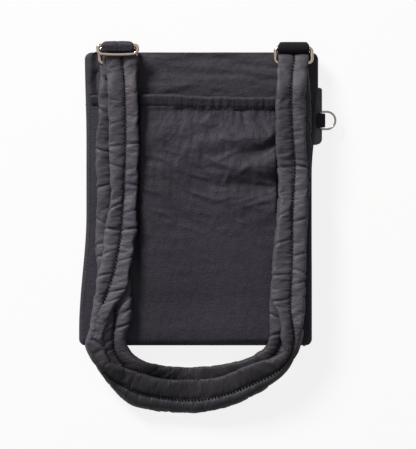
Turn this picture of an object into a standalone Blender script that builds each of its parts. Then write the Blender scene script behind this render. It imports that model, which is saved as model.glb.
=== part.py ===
# Crossbody bag of crinkled nylon with a doubled, padded strap, lying flat on its front panel.
# Metres. The origin is on the surface it lies on, under the middle of the bag. +X runs to the
# wearer's side of the bag with the small ring, +Y to the bag's mouth, +Z up through the back panel.

import math

import bmesh
import bpy
from mathutils import Vector

# Bag body
bag_width = 0.1808
bag_height = 0.2352
side_height = 0.012
panel_crown = 0.003
cloth = 0.001
gap = 0.0003
corner_radius = 0.0055
left_top_flare = 0.0013
left_foot_flare = 0.0057
right_top_flare = 0.0052
gusset_cloth = 0.0008
seam_inset = 0.0006
lining_cloth = 0.0004

# Back pocket, its turned hem and the elastic in the hem
pocket_drop = 0.0344
pocket_gape = 0.0056
pocket_cloth = 0.0006
hem_depth = 0.0095
hem_thickness = 0.0022
hem_wall = 0.0005
elastic_depth = 0.0078
elastic_thickness = 0.0006
hem_ease = 0.014

# Zip, sunk below the mouth
zip_depth = 0.012
zip_lift = 0.0050
tape_thickness = 0.0005
tooth_pitch = 0.003
tooth_width = 0.0012
tooth_reach = 0.0013
spine_width = 0.0009
teeth_thickness = 0.0014
left_end_tab_length = 0.0167
right_end_tab_length = 0.006
end_tab_cloth = 0.0006
stop_length = 0.002
stop_thickness = 0.0018
slider_length = 0.009
slider_plate = 0.0009
slider_flange = 0.0007
slider_post_length = 0.0015
slider_post_width = 0.0012
bail_wire = 0.0009
bail_width = 0.0012
bail_opening = 0.002
pull_bar = 0.0009
pull_width = 0.0044
pull_length = 0.022
zip_open_margin = 0.003

# Rings, slider and their webbing tabs
ring_inner_width = 0.026
ring_inner_height = 0.0087
ring_wire = 0.0031
ring_corner = 0.0032
left_ring_inset = 0.0256
right_ring_inset = 0.0148
lower_bar_drop = 0.0085
tab_width = 0.0252
tab_webbing = 0.0012
tab_slack = 0.0012
tab_tail = 0.0068
slider_inner_width = 0.0284
slider_inner_height = 0.0032
slider_wire = 0.003
slider_rise = 0.0003
slider_low_bar_drop = 0.0016

# Padded strap
strap_width = 0.025
strap_thickness = 0.0048
strap_fold_thickness = 0.003
fold_ease = 0.0005
fold_bulge = 0.0023
tail_length = 0.0118
band_width = 0.0262
band_thickness = 0.0015
band_ease = 0.0003
loop_drop = 0.0532
strap_drape = 0.04
strap_drape_start = 0.003
strap_step = 0.0115

# Side tab, its webbing loop and the small ring
side_tab_length = 0.046
side_tab_drop = 0.028
side_tab_reach = 0.005
side_tab_cloth = 0.0016
side_tab_lift = 0.003
side_tab_corner = 0.005
d_loop_width = 0.0112
d_loop_webbing = 0.001
d_loop_drop = 0.0544
d_loop_bulge = 0.0018
d_ring_wire = 0.0016
d_ring_inner_length = 0.0124
d_ring_reach = 0.0118
d_bar_reach = 0.0038

half_width = bag_width / 2
top_y = bag_height / 2
foot_y = -bag_height / 2


def make_material(name, colour, roughness, metallic=0.0):
    material = bpy.data.materials.new(name)
    material.use_nodes = True
    shader = material.node_tree.nodes["Principled BSDF"]
    shader.inputs["Base Color"].default_value = (*colour, 1.0)
    shader.inputs["Roughness"].default_value = roughness
    shader.inputs["Metallic"].default_value = metallic
    material.diffuse_color = (*colour, 1.0)
    return material


def make_object(name, points, faces, material, smooth_angle=40, location=(0, 0, 0)):
    """One closed object whose points are given in the world and kept about its own origin."""
    mesh = bpy.data.meshes.new(name)
    here = Vector(location)
    mesh.from_pydata([Vector(point) - here for point in points], [], faces)
    shell = bmesh.new()
    shell.from_mesh(mesh)
    bmesh.ops.recalc_face_normals(shell, faces=shell.faces)
    shell.to_mesh(mesh)
    shell.free()
    mesh.shade_smooth()
    mesh.set_sharp_from_angle(angle=math.radians(smooth_angle))
    mesh.materials.append(material)
    thing = bpy.data.objects.new(name, mesh)
    thing.location = here
    bpy.context.scene.collection.objects.link(thing)
    return thing


def smooth_step(share):
    share = min(1.0, max(0.0, share))
    return share * share * (3 - 2 * share)


def mix(first, second, share):
    return first + (second - first) * share


# Outline of the bag, slack as it lies: the left side flares at the foot, the right at the mouth.
def down_share(y):
    return (top_y - y) / bag_height


def left_edge(y):
    share = down_share(y)
    top_part = left_top_flare * (1 - smooth_step(share / 0.3))
    return -half_width - top_part - left_foot_flare * smooth_step((share - 0.55) / 0.4)


def right_edge(y):
    return half_width + right_top_flare * (1 - smooth_step((down_share(y) - 0.12) / 0.3))


def middle(y):
    return (left_edge(y) + right_edge(y)) / 2


def across_share(x, y):
    return abs(x - middle(y)) / (right_edge(y) - middle(y))


def crown_share(x, y):
    across = min(1.0, across_share(x, y))
    along = min(1.0, abs(y) / top_y)
    return (1 - across**4) * (1 - along**4)


def back_under(x, y):
    return side_height - cloth + panel_crown * crown_share(x, y)


def back_top(x, y):
    return back_under(x, y) + cloth


pocket_height = bag_height - pocket_drop
pocket_top_y = top_y - pocket_drop
hem_bottom_y = pocket_top_y - hem_depth


def gape_share(x, y):
    across = min(1.0, across_share(x, y))
    up = min(1.0, max(0.0, (y - foot_y) / pocket_height))
    return (1 - across**4) * (1 - (1 - up) ** 4)


def pocket_under(x, y):
    return back_top(x, y) + gap + pocket_gape * gape_share(x, y)


def pocket_top(x, y):
    return pocket_under(x, y) + pocket_cloth


def face_height(x, y):
    """Height of the visible face where a strap lies on it, eased over the hem."""
    x = min(right_edge(y), max(left_edge(y), x))
    on_pocket = smooth_step((pocket_top_y + hem_ease - y) / hem_ease)
    on_hem = on_pocket * smooth_step((y - hem_bottom_y + hem_ease) / hem_ease)
    thickness = pocket_cloth + (hem_thickness - pocket_cloth) * on_hem
    raised = pocket_under(x, min(y, pocket_top_y)) + thickness - back_top(x, min(y, pocket_top_y))
    return back_top(x, y) + on_pocket * raised


# Shared makers for sheets, prisms, walls and bands
def outline_rows(bottom, top, inset, steps, corner):
    """Rows (y, left x, right x) from bottom to top, drawn in at the corners by a quarter circle."""
    heights = [bottom + corner * (1 - math.cos(math.pi / 2 * k / 3)) for k in range(4)]
    heights += [mix(bottom + corner, top - corner, k / steps) for k in range(1, steps)]
    heights += [top - corner * (1 - math.cos(math.pi / 2 * k / 3)) for k in range(3, -1, -1)]
    rows = []
    for y in heights:
        near = min(y - bottom, top - y)
        drawn_in = 0.0
        if near < corner:
            drawn_in = corner - math.sqrt(max(0.0, corner**2 - (corner - near) ** 2))
        rows.append((y, left_edge(y) + inset + drawn_in, right_edge(y) - inset - drawn_in))
    return rows


def across_shares(count):
    """Shares across a sheet, closer together towards both edges."""
    return [mix(k / count, 0.5 - 0.5 * math.cos(math.pi * k / count), 0.6) for k in range(count + 1)]


def sheet(name, rows, lower, upper, material, columns=12):
    """Closed sheet over rows (y, left x, right x), between two height functions of x and y."""
    shares = across_shares(columns)
    points = []
    for height in (lower, upper):
        for y, left, right in rows:
            for share in shares:
                x = mix(left, right, share)
                points.append((x, y, height(x, y)))
    width = columns + 1
    layer = width * len(rows)
    faces = []
    for row in range(len(rows) - 1):
        for column in range(columns):
            first = row * width + column
            corners = (first, first + 1, first + width + 1, first + width)
            faces.append(tuple(reversed(corners)))
            faces.append(tuple(corner + layer for corner in corners))
    rim = [column for column in range(width)]
    rim += [row * width + columns for row in range(1, len(rows))]
    rim += [(len(rows) - 1) * width + column for column in range(columns - 1, -1, -1)]
    rim += [row * width for row in range(len(rows) - 2, 0, -1)]
    for here, after in zip(rim, rim[1:] + rim[:1]):
        faces.append((here, after, after + layer, here + layer))
    return make_object(name, points, faces, material)


def prism(name, outline, low, high, material, location=(0, 0, 0), place=None):
    """Closed prism over an outline of (a, b) pairs; place turns (a, b, height) into a point."""
    place = place or (lambda a, b, height: (a, b, height))
    points = [place(a, b, height) for height in (low, high) for a, b in outline]
    count = len(outline)
    faces = [tuple(range(count)), tuple(range(2 * count - 1, count - 1, -1))]
    for here in range(count):
        after = (here + 1) % count
        faces.append((here, here + count, after + count, after))
    return make_object(name, points, faces, material, smooth_angle=30, location=location)


def thick_line(path, thickness):
    """Outline of a band of even thickness along an open path of (a, b) pairs."""
    left_side = []
    right_side = []
    for index, (a, b) in enumerate(path):
        before = path[max(0, index - 1)]
        after = path[min(len(path) - 1, index + 1)]
        along = Vector((after[0] - before[0], after[1] - before[1])).normalized()
        left_side.append((a - along.y * thickness / 2, b + along.x * thickness / 2))
        right_side.append((a + along.y * thickness / 2, b - along.x * thickness / 2))
    return left_side + right_side[::-1]


def wall(name, path, thickness, low, high, material):
    """Upright strip along a path in plan, between two heights."""
    outline = thick_line(path, thickness)
    count = len(outline)
    half = count // 2
    points = [(x, y, height) for height in (low, high) for x, y in outline]
    faces = []
    for here in range(half - 1):
        other = count - 1 - here
        faces.append((here, here + 1, other - 1, other))
        faces.append((other + count, other - 1 + count, here + 1 + count, here + count))
    for here in range(count):
        after = (here + 1) % count
        faces.append((here, here + count, after + count, after))
    return make_object(name, points, faces, material)


def arc(centre, radii, start, end, steps):
    """Points on an ellipse's arc, angles in degrees."""
    found = []
    for step in range(steps + 1):
        angle = math.radians(mix(start, end, step / steps))
        found.append((centre[0] + radii[0] * math.cos(angle), centre[1] + radii[1] * math.sin(angle)))
    return found


def closed_wire(name, centres, wire, material, location=(0, 0, 0), sides=10):
    """Round wire along a closed, flat loop of points (x, y) at the height of its origin."""
    height = location[2]
    count = len(centres)
    points = []
    for index, (x, y) in enumerate(centres):
        before = centres[index - 1]
        after = centres[(index + 1) % count]
        along = Vector((after[0] - before[0], after[1] - before[1])).normalized()
        for side in range(sides):
            angle = math.tau * side / sides
            out = wire / 2 * math.cos(angle)
            up = wire / 2 * math.sin(angle)
            points.append((x + along.y * out, y - along.x * out, height + up))
    faces = []
    for index in range(count):
        after = (index + 1) % count
        for side in range(sides):
            beside = (side + 1) % sides
            near = (index * sides + side, after * sides + side)
            faces.append((*near, after * sides + beside, index * sides + beside))
    return make_object(name, points, faces, material, location=location)


def rounded_loop(centre_x, low_y, high_y, width, corner):
    """Closed loop of points with rounded corners, running through the middle of a wire."""
    left = centre_x - width / 2
    right = centre_x + width / 2
    radii = (corner, corner)
    loop = arc((right - corner, high_y - corner), radii, 90, 0, 5)
    loop += [(right, mix(low_y + corner, high_y - corner, 0.5))]
    loop += arc((right - corner, low_y + corner), radii, 0, -90, 5)
    loop += [(mix(left, right, share), low_y) for share in (0.65, 0.35)]
    loop += arc((left + corner, low_y + corner), radii, -90, -180, 5)
    loop += [(left, mix(low_y + corner, high_y - corner, 0.5))]
    loop += arc((left + corner, high_y - corner), radii, 180, 90, 5)
    loop += [(mix(left, right, share), high_y) for share in (0.35, 0.65)]
    return loop


# The scene starts empty.
for old in list(bpy.data.objects):
    bpy.data.objects.remove(old, do_unlink=True)

shell_nylon = make_material("shell_nylon", (0.045, 0.042, 0.052), 0.55)
pocket_nylon = make_material("pocket_nylon", (0.05, 0.047, 0.057), 0.55)
lining_fabric = make_material("lining_fabric", (0.02, 0.02, 0.022), 0.8)
elastic_band = make_material("elastic_band", (0.015, 0.015, 0.016), 0.9)
zip_fabric = make_material("zip_fabric", (0.012, 0.012, 0.014), 0.85)
zip_nylon = make_material("zip_nylon", (0.015, 0.015, 0.017), 0.4)
zip_metal = make_material("zip_metal", (0.55, 0.52, 0.48), 0.3, 1.0)
webbing_black = make_material("webbing_black", (0.012, 0.011, 0.013), 0.7)
ring_metal = make_material("ring_metal", (0.72, 0.66, 0.6), 0.22, 1.0)
strap_nylon = make_material("strap_nylon", (0.06, 0.056, 0.066), 0.5)


# Bag body
full_rows = outline_rows(foot_y, top_y, 0.0, 11, corner_radius)
front_outline = [(right, y) for y, left, right in full_rows]
front_outline += [(left, y) for y, left, right in full_rows[::-1]]
prism("front_panel", front_outline, 0.0, cloth, shell_nylon)
sheet("back_panel", full_rows, back_under, back_top, shell_nylon)

gusset_low = cloth + gap
gusset_high = side_height - cloth - gap
gusset_middle = seam_inset + gusset_cloth / 2
side_reach = corner_radius + gap


def side_path(edge, inward):
    low = foot_y + side_reach
    high = top_y - corner_radius
    path = []
    for step in range(13):
        y = mix(low, high, step / 12)
        path.append((edge(y) + inward * gusset_middle, y))
    return path


wall("left_gusset", side_path(left_edge, 1), gusset_cloth, gusset_low, gusset_high, shell_nylon)
wall("right_gusset", side_path(right_edge, -1), gusset_cloth, gusset_low, gusset_high, shell_nylon)

corner_middle = corner_radius - gusset_middle
left_foot_x = left_edge(foot_y + corner_radius) + corner_radius
right_foot_x = right_edge(foot_y + corner_radius) - corner_radius
foot_centre_y = foot_y + corner_radius
foot_path = arc((left_foot_x, foot_centre_y), (corner_middle, corner_middle), 180, 270, 5)
foot_path += [(mix(left_foot_x, right_foot_x, step / 8), foot_y + gusset_middle) for step in range(1, 8)]
foot_path += arc((right_foot_x, foot_centre_y), (corner_middle, corner_middle), 270, 360, 5)
wall("bottom_gusset", foot_path, gusset_cloth, gusset_low, gusset_high, shell_nylon)

# Lining, two sheets inside the shell that reach up to the zip
zip_y = top_y - zip_depth
lining_inset = seam_inset + gusset_cloth + gap
lining_top_y = zip_y - tape_thickness / 2 - end_tab_cloth - 2 * gap
lining_rows = outline_rows(foot_y + lining_inset, lining_top_y, lining_inset, 9, corner_radius)
lining_outline = [(right, y) for y, left, right in lining_rows]
lining_outline += [(left, y) for y, left, right in lining_rows[::-1]]
lining_low = cloth + gap
prism("lining_front", lining_outline, lining_low, lining_low + lining_cloth, lining_fabric)
sheet(
    "lining_back",
    lining_rows,
    lambda x, y: back_under(x, y) - gap - lining_cloth,
    lambda x, y: back_under(x, y) - gap,
    lining_fabric,
    columns=10,
)

# Back pocket: one patch sewn on three sides, gaping at its mouth
pocket_rows = outline_rows(foot_y, hem_bottom_y - gap + corner_radius, 0.0, 9, corner_radius)
pocket_rows = [row for row in pocket_rows if row[0] < hem_bottom_y - gap - corner_radius / 2]
pocket_rows.append((hem_bottom_y - gap, left_edge(hem_bottom_y), right_edge(hem_bottom_y)))
sheet("patch_pocket", pocket_rows, pocket_under, pocket_top, pocket_nylon, columns=14)

hem_middle_y = (pocket_top_y + hem_bottom_y) / 2


def hem_section(depth, thickness, lift):
    """Rounded flat section (y, height above the pocket's underside) of the hem or its hollow."""
    round_off = thickness / 2
    half = depth / 2 - round_off
    section = arc((hem_middle_y + half, lift + round_off), (round_off, round_off), -90, 90, 3)
    section += arc((hem_middle_y - half, lift + round_off), (round_off, round_off), 90, 270, 3)
    return section


def tube_along_hem(name, outer, inner, left, right, material, steps=16):
    """Flat tube, or with no inner section a flat strip, that follows the pocket across the bag."""
    rings = []
    for step in range(steps + 1):
        x = mix(left, right, step / steps)
        base = pocket_under(x, hem_middle_y)
        rings.append([(x, y, base + up) for y, up in outer] + [(x, y, base + up) for y, up in inner])
    points = [point for ring in rings for point in ring]
    stride = len(outer) + len(inner)
    faces = []
    for step in range(steps):
        for first, count in ((0, len(outer)), (len(outer), len(inner))):
            for k in range(count):
                a = step * stride + first + k
                b = step * stride + first + (k + 1) % count
                faces.append((a, b, b + stride, a + stride))
    for start in (0, steps * stride):
        if inner:
            for k in range(len(outer)):
                after = (k + 1) % len(outer)
                inside = start + len(outer)
                faces.append((start + k, start + after, inside + after, inside + k))
        else:
            faces.append(tuple(start + k for k in range(len(outer))))
    return make_object(name, points, faces, material)


hollow_depth = hem_depth - 2 * hem_wall
hollow_thickness = hem_thickness - 2 * hem_wall
hem_left = left_edge(hem_middle_y)
hem_right = right_edge(hem_middle_y)
tube_along_hem(
    "pocket_hem",
    hem_section(hem_depth, hem_thickness, 0.0),
    hem_section(hollow_depth, hollow_thickness, hem_wall),
    hem_left,
    hem_right,
    pocket_nylon,
)
elastic_lift = (hem_thickness - elastic_thickness) / 2
tube_along_hem(
    "pocket_elastic",
    hem_section(elastic_depth, elastic_thickness, elastic_lift),
    [],
    hem_left + gap,
    hem_right - gap,
    elastic_band,
)

# Zip across the mouth, with its teeth meshed and its slider at the closed end on the right
gusset_inner = seam_inset + gusset_cloth
zip_left = left_edge(zip_y) + gusset_inner + gap
zip_right = right_edge(zip_y) - gusset_inner - gap
tape_left = zip_left + end_tab_cloth + gap
tape_right = zip_right - end_tab_cloth - gap
teeth_half = (2 * spine_width + tooth_reach + gap) / 2
teeth_low = zip_lift - teeth_half
teeth_high = zip_lift + teeth_half
tape_inner_low = teeth_low - gap
tape_inner_high = teeth_high + gap


def tape(name, low, high):
    """Flat tape in the plane of the zip, between two height functions of x."""
    steps = 14
    points = []
    for y in (zip_y - tape_thickness / 2, zip_y + tape_thickness / 2):
        for height in (low, high):
            for step in range(steps + 1):
                x = mix(tape_left, tape_right, step / steps)
                points.append((x, y, height(x)))
    row = steps + 1
    faces = []
    for k in range(steps):
        faces.append((k, k + 1, row + k + 1, row + k))
        faces.append((3 * row + k, 3 * row + k + 1, 2 * row + k + 1, 2 * row + k))
        faces.append((2 * row + k, 2 * row + k + 1, k + 1, k))
        faces.append((row + k, row + k + 1, 3 * row + k + 1, 3 * row + k))
    faces.append((0, row, 3 * row, 2 * row))
    faces.append((steps, 2 * row + steps, 3 * row + steps, row + steps))
    return make_object(name, points, faces, zip_fabric, smooth_angle=20)


tape("zip_tape_front", lambda x: cloth + gap, lambda x: tape_inner_low)
tape("zip_tape_back", lambda x: tape_inner_high, lambda x: back_under(x, zip_y) - gap)

teeth_left = tape_left + left_end_tab_length + gap + stop_length + gap
teeth_right = tape_right - right_end_tab_length - stop_length - slider_length / 2 - zip_open_margin
tooth_count = int((teeth_right - teeth_left - tooth_pitch) / tooth_pitch)


def in_zip_plane(x, z, y):
    return (x, y, z)


def teeth(name, edge, direction, offset):
    """Comb of teeth on a spine that starts at the edge and reaches across in the direction."""
    spine = edge + direction * spine_width
    tip = spine + direction * tooth_reach
    outline = [(teeth_left, edge), (teeth_right, edge), (teeth_right, spine)]
    for index in range(tooth_count - 1, -1, -1):
        right = teeth_left + offset + (index + 0.5) * tooth_pitch + tooth_width
        outline += [(right, spine), (right, tip), (right - tooth_width, tip), (right - tooth_width, spine)]
    outline.append((teeth_left, spine))
    low = zip_y - teeth_thickness / 2
    return prism(name, outline, low, low + teeth_thickness, zip_nylon, place=in_zip_plane)


teeth("zip_teeth_front", teeth_low, 1, 0.0)
teeth("zip_teeth_back", teeth_high, -1, tooth_pitch / 2)

stop_low_y = zip_y - stop_thickness / 2
stop_high_y = zip_y + stop_thickness / 2


def block(name, x_range, y_range, z_range, material, location=(0, 0, 0)):
    left, right = x_range
    near, far = y_range
    outline = [(left, near), (right, near), (right, far), (left, far)]
    return prism(name, outline, z_range[0], z_range[1], material, location=location)


stop_left = teeth_left - gap - stop_length
stop_y = (stop_low_y, stop_high_y)
bottom_stop_x = (stop_left, stop_left + stop_length)
block("zip_bottom_stop", bottom_stop_x, stop_y, (teeth_low, teeth_high), zip_metal)
slider_right = teeth_right + slider_post_length + 2 * gap
slider_left = slider_right - slider_length
stop_right = slider_right + gap
top_stop_x = (stop_right, stop_right + stop_length)
block("zip_top_stop_front", top_stop_x, stop_y, (teeth_low, zip_lift - gap / 2), zip_metal)
block("zip_top_stop_back", top_stop_x, stop_y, (zip_lift + gap / 2, teeth_high), zip_metal)

# Cloth tabs folded over both ends of the zip
end_tab_half = tape_thickness / 2 + gap
end_tab_outer = end_tab_half + end_tab_cloth


def end_tab(name, outer_x, direction, length):
    inner_x = outer_x + direction * end_tab_cloth
    mouth_x = inner_x + direction * length
    outline = [
        (outer_x, zip_y - end_tab_outer),
        (mouth_x, zip_y - end_tab_outer),
        (mouth_x, zip_y - end_tab_half),
        (inner_x, zip_y - end_tab_half),
        (inner_x, zip_y + end_tab_half),
        (mouth_x, zip_y + end_tab_half),
        (mouth_x, zip_y + end_tab_outer),
        (outer_x, zip_y + end_tab_outer),
    ]
    return prism(name, outline, cloth + gap, side_height - cloth - gap, shell_nylon)


end_tab("zip_end_tab_left", zip_left, 1, left_end_tab_length)
end_tab("zip_end_tab_right", zip_right, -1, right_end_tab_length)

# Zip slider: two plates joined by the post that parts the teeth, flanges, and a bail for the pull
plate_low = teeth_thickness / 2 + gap
plate_high = plate_low + slider_plate
flange_reach = tape_thickness / 2 + gap
slider_half = teeth_half + gap + slider_flange
slider_middle_x = (slider_left + slider_right) / 2


def zip_slider():
    """Section across the zip, drawn out along it, then the post and the bail are joined on."""
    origin = (slider_middle_x, zip_y, zip_lift)
    inner = slider_half - slider_flange

    def half_section(side):
        return [
            (-slider_half, side * plate_high),
            (slider_half, side * plate_high),
            (slider_half, side * flange_reach),
            (inner, side * flange_reach),
            (inner, side * plate_low),
            (-inner, side * plate_low),
            (-inner, side * flange_reach),
            (-slider_half, side * flange_reach),
        ]

    def along_zip(z, y, x):
        return (x, zip_y + y, zip_lift + z)

    upper = prism("zip_slider", half_section(1), slider_left, slider_right, zip_metal, origin, along_zip)
    lower = prism("slider_lower", half_section(-1), slider_left, slider_right, zip_metal, origin, along_zip)
    overrun = slider_plate / 2
    post = block(
        "slider_post",
        (slider_right - slider_post_length, slider_right),
        (zip_y - plate_low - overrun, zip_y + plate_low + overrun),
        (zip_lift - slider_post_width / 2, zip_lift + slider_post_width / 2),
        zip_metal,
    )
    bail_low = zip_y + plate_high
    reach = bail_opening / 2 + bail_wire
    bail_outline = [
        (slider_middle_x - reach, bail_low - overrun),
        (slider_middle_x - bail_opening / 2, bail_low - overrun),
        (slider_middle_x - bail_opening / 2, bail_low + bail_opening),
        (slider_middle_x + bail_opening / 2, bail_low + bail_opening),
        (slider_middle_x + bail_opening / 2, bail_low - overrun),
        (slider_middle_x + reach, bail_low - overrun),
        (slider_middle_x + reach, bail_low + bail_opening + bail_wire),
        (slider_middle_x - reach, bail_low + bail_opening + bail_wire),
    ]
    bail_z = (zip_lift - bail_width / 2, zip_lift + bail_width / 2)
    bail = prism("slider_bail", bail_outline, bail_z[0], bail_z[1], zip_metal)
    for index, extra in enumerate((lower, post, bail)):
        extra.hide_render = True
        extra.display_type = "WIRE"
        joined = upper.modifiers.new(f"join_{index}", "BOOLEAN")
        joined.operation = "UNION"
        joined.object = extra
    return upper


zip_slider()

# Zip pull: a tab with an eye whose bar lies under the bail
pull_bar_y = zip_y + plate_high + bail_opening / 2
arm_inner = bail_width / 2 + gap
pull_half = pull_width / 2
eye_reach = bail_opening / 2 + bail_wire + pull_bar / 2 + 2 * gap


def zip_pull():
    origin = (slider_middle_x, pull_bar_y, zip_lift)
    bar_half = pull_bar / 2
    outline = [
        (bar_half, -pull_half),
        (bar_half, pull_half),
        (-pull_length, pull_half),
        (-pull_length, -pull_half),
    ]
    eye = [
        (-bar_half, -arm_inner),
        (-bar_half, arm_inner),
        (-bar_half - eye_reach, arm_inner),
        (-bar_half - eye_reach, -arm_inner),
    ]

    def lie_flat(x, z, y):
        return (slider_middle_x + x, pull_bar_y + y, zip_lift + z)

    half_thick = pull_bar / 2
    plate = prism("zip_pull", outline, -half_thick, half_thick, zip_metal, origin, lie_flat)
    hole = prism("pull_eye", eye, -2 * half_thick, 2 * half_thick, zip_metal, origin, lie_flat)
    hole.hide_render = True
    hole.display_type = "WIRE"
    cut = plate.modifiers.new("eye", "BOOLEAN")
    cut.operation = "DIFFERENCE"
    cut.object = hole
    return plate


zip_pull()

# Rings: their upper bars turn in the webbing tabs, their lower bars hold the strap
lower_bar_y = top_y - lower_bar_drop
upper_bar_y = lower_bar_y + ring_inner_height + ring_wire
left_ring_x = -half_width + left_ring_inset
right_ring_x = half_width - right_ring_inset
fold_inner = ring_wire / 2 + fold_ease
fold_outer = fold_inner + strap_fold_thickness
ring_seat = back_top(left_ring_x, lower_bar_y) + gap
ring_z = ring_seat + fold_outer
ring_span = ring_inner_width + ring_wire


def ring(name, centre_x):
    loop = rounded_loop(centre_x, lower_bar_y, upper_bar_y, ring_span, ring_corner)
    return closed_wire(name, loop, ring_wire, ring_metal, location=(centre_x, upper_bar_y, ring_z))


ring("left_ring", left_ring_x)
ring("right_ring", right_ring_x)


def x_band(name, path, thickness, centre_x, width, material):
    """Band of even thickness along a path of (y, z) pairs, drawn out across the bag."""
    outline = thick_line(path, thickness)
    return prism(
        name,
        outline,
        centre_x - width / 2,
        centre_x + width / 2,
        material,
        place=lambda y, z, x: (x, y, z),
    )


# Webbing tabs: both ends sewn inside the mouth against the back panel, looped over the upper bar
tab_wrap = ring_wire / 2 + tab_slack + tab_webbing / 2
tab_outer_z = back_under(left_ring_x, top_y) - gap - tab_webbing / 2
tab_inner_z = tab_outer_z - tab_webbing - gap
tab_clear_y = top_y + gap + tab_webbing / 2


def strap_tab(name, centre_x):
    path = [(top_y - tab_tail, tab_outer_z), (top_y - tab_webbing, tab_outer_z)]
    turn_centre = (top_y - tab_webbing, tab_outer_z + tab_webbing)
    path += arc(turn_centre, (2 * tab_webbing, tab_webbing), -90, 0, 4)[1:]
    climb_y = mix(tab_clear_y, upper_bar_y - tab_wrap, 0.5)
    path += [(climb_y, mix(tab_outer_z + tab_webbing, ring_z, 0.6))]
    path += arc((upper_bar_y, ring_z), (tab_wrap, tab_wrap), 180, 0, 9)
    path += [
        (upper_bar_y + tab_wrap - tab_webbing / 2, mix(tab_inner_z, ring_z, 0.55)),
        (mix(tab_clear_y, upper_bar_y + tab_wrap, 0.55), mix(tab_inner_z, ring_z, 0.25)),
        (tab_clear_y + tab_webbing / 3, tab_inner_z + tab_webbing / 2),
        (top_y - tab_webbing, tab_inner_z),
        (top_y - tab_tail, tab_inner_z),
    ]
    return x_band(name, path, tab_webbing, centre_x, tab_width, webbing_black)


strap_tab("left_strap_tab", left_ring_x)
strap_tab("right_strap_tab", right_ring_x)


# Padded strap: two puffed channels either side of a sewn centre seam
section_shares = (
    (-1.0, 0.0),
    (-0.9, 0.62),
    (-0.6, 1.0),
    (-0.28, 0.86),
    (0.0, 0.5),
    (0.28, 0.86),
    (0.6, 1.0),
    (0.9, 0.62),
    (1.0, 0.0),
    (0.9, -0.62),
    (0.6, -1.0),
    (0.28, -0.86),
    (0.0, -0.5),
    (-0.28, -0.86),
    (-0.6, -1.0),
    (-0.9, -0.62),
)


def strap_piece(name, frames):
    """Closed length of strap from frames: centre, side vector, up vector, width and thickness."""
    points = []
    for centre, side, up, width, thickness in frames:
        for across, through in section_shares:
            points.append(centre + side * (across * width / 2) + up * (through * thickness / 2))
    count = len(section_shares)
    faces = [tuple(range(count)), tuple(range((len(frames) - 1) * count, len(frames) * count))]
    for index in range(len(frames) - 1):
        first = index * count
        for k in range(count):
            after = (k + 1) % count
            faces.append((first + k, first + after, first + count + after, first + count + k))
    return make_object(name, points, faces, strap_nylon, smooth_angle=60, location=hinge_place)


hinge_place = (left_ring_x, upper_bar_y, ring_z)


def smooth_rows(rows, step_length):
    """Catmull-Rom rows through the given rows, with the place of each given row among them."""
    found = []
    marks = []
    for index in range(len(rows) - 1):
        marks.append(len(found))
        p0 = rows[max(0, index - 1)]
        p1 = rows[index]
        p2 = rows[index + 1]
        p3 = rows[min(len(rows) - 1, index + 2)]
        steps = max(1, round(math.hypot(p2[0] - p1[0], p2[1] - p1[1]) / step_length))
        for step in range(steps):
            t = step / steps
            row = []
            for a, b, c, d in zip(p0, p1, p2, p3):
                bend = (2 * a - 5 * b + 4 * c - d) * t**2 + (3 * b - a - 3 * c + d) * t**3
                row.append(0.5 * (2 * b + (c - a) * t + bend))
            found.append(row)
    marks.append(len(found))
    found.append(list(rows[-1]))
    return found, marks


strap_pitch = strap_thickness + gap
rest_shares = (-0.5, -0.38, -0.25, -0.12, 0.0, 0.12, 0.25, 0.38, 0.5)


def lie_height(x, y):
    """Height that a strap lies at: the bag's face, then an easy slope down to the floor."""
    past = (foot_y - y - strap_drape_start) / strap_drape
    inside_y = min(max(y, foot_y), top_y)
    return face_height(x, inside_y) * (1 - smooth_step(past))


def support(x, y, along, width):
    """Height, slope across and slope along of the flat that touches what a strap lies on."""
    side = Vector((-along.y, along.x, 0))
    near_ring = smooth_step((lower_bar_y - tail_length - y) / tail_length)
    edge = width / 2
    left = lie_height(x + side.x * edge, y + side.y * edge)
    right = lie_height(x - side.x * edge, y - side.y * edge)
    across = near_ring * (left - right) / width
    step = strap_step / 2
    ahead = lie_height(x + along.x * step, y + along.y * step)
    behind = lie_height(x - along.x * step, y - along.y * step)
    lengthwise = (ahead - behind) / strap_step
    level = 0.0
    for share in rest_shares:
        for forward in (-step, 0.0, step):
            out = share * width
            spot_x = x + side.x * out + along.x * forward
            spot_y = y + side.y * out + along.y * forward
            level = max(level, lie_height(spot_x, spot_y) - across * out - lengthwise * forward)
    return level, across, lengthwise


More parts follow.
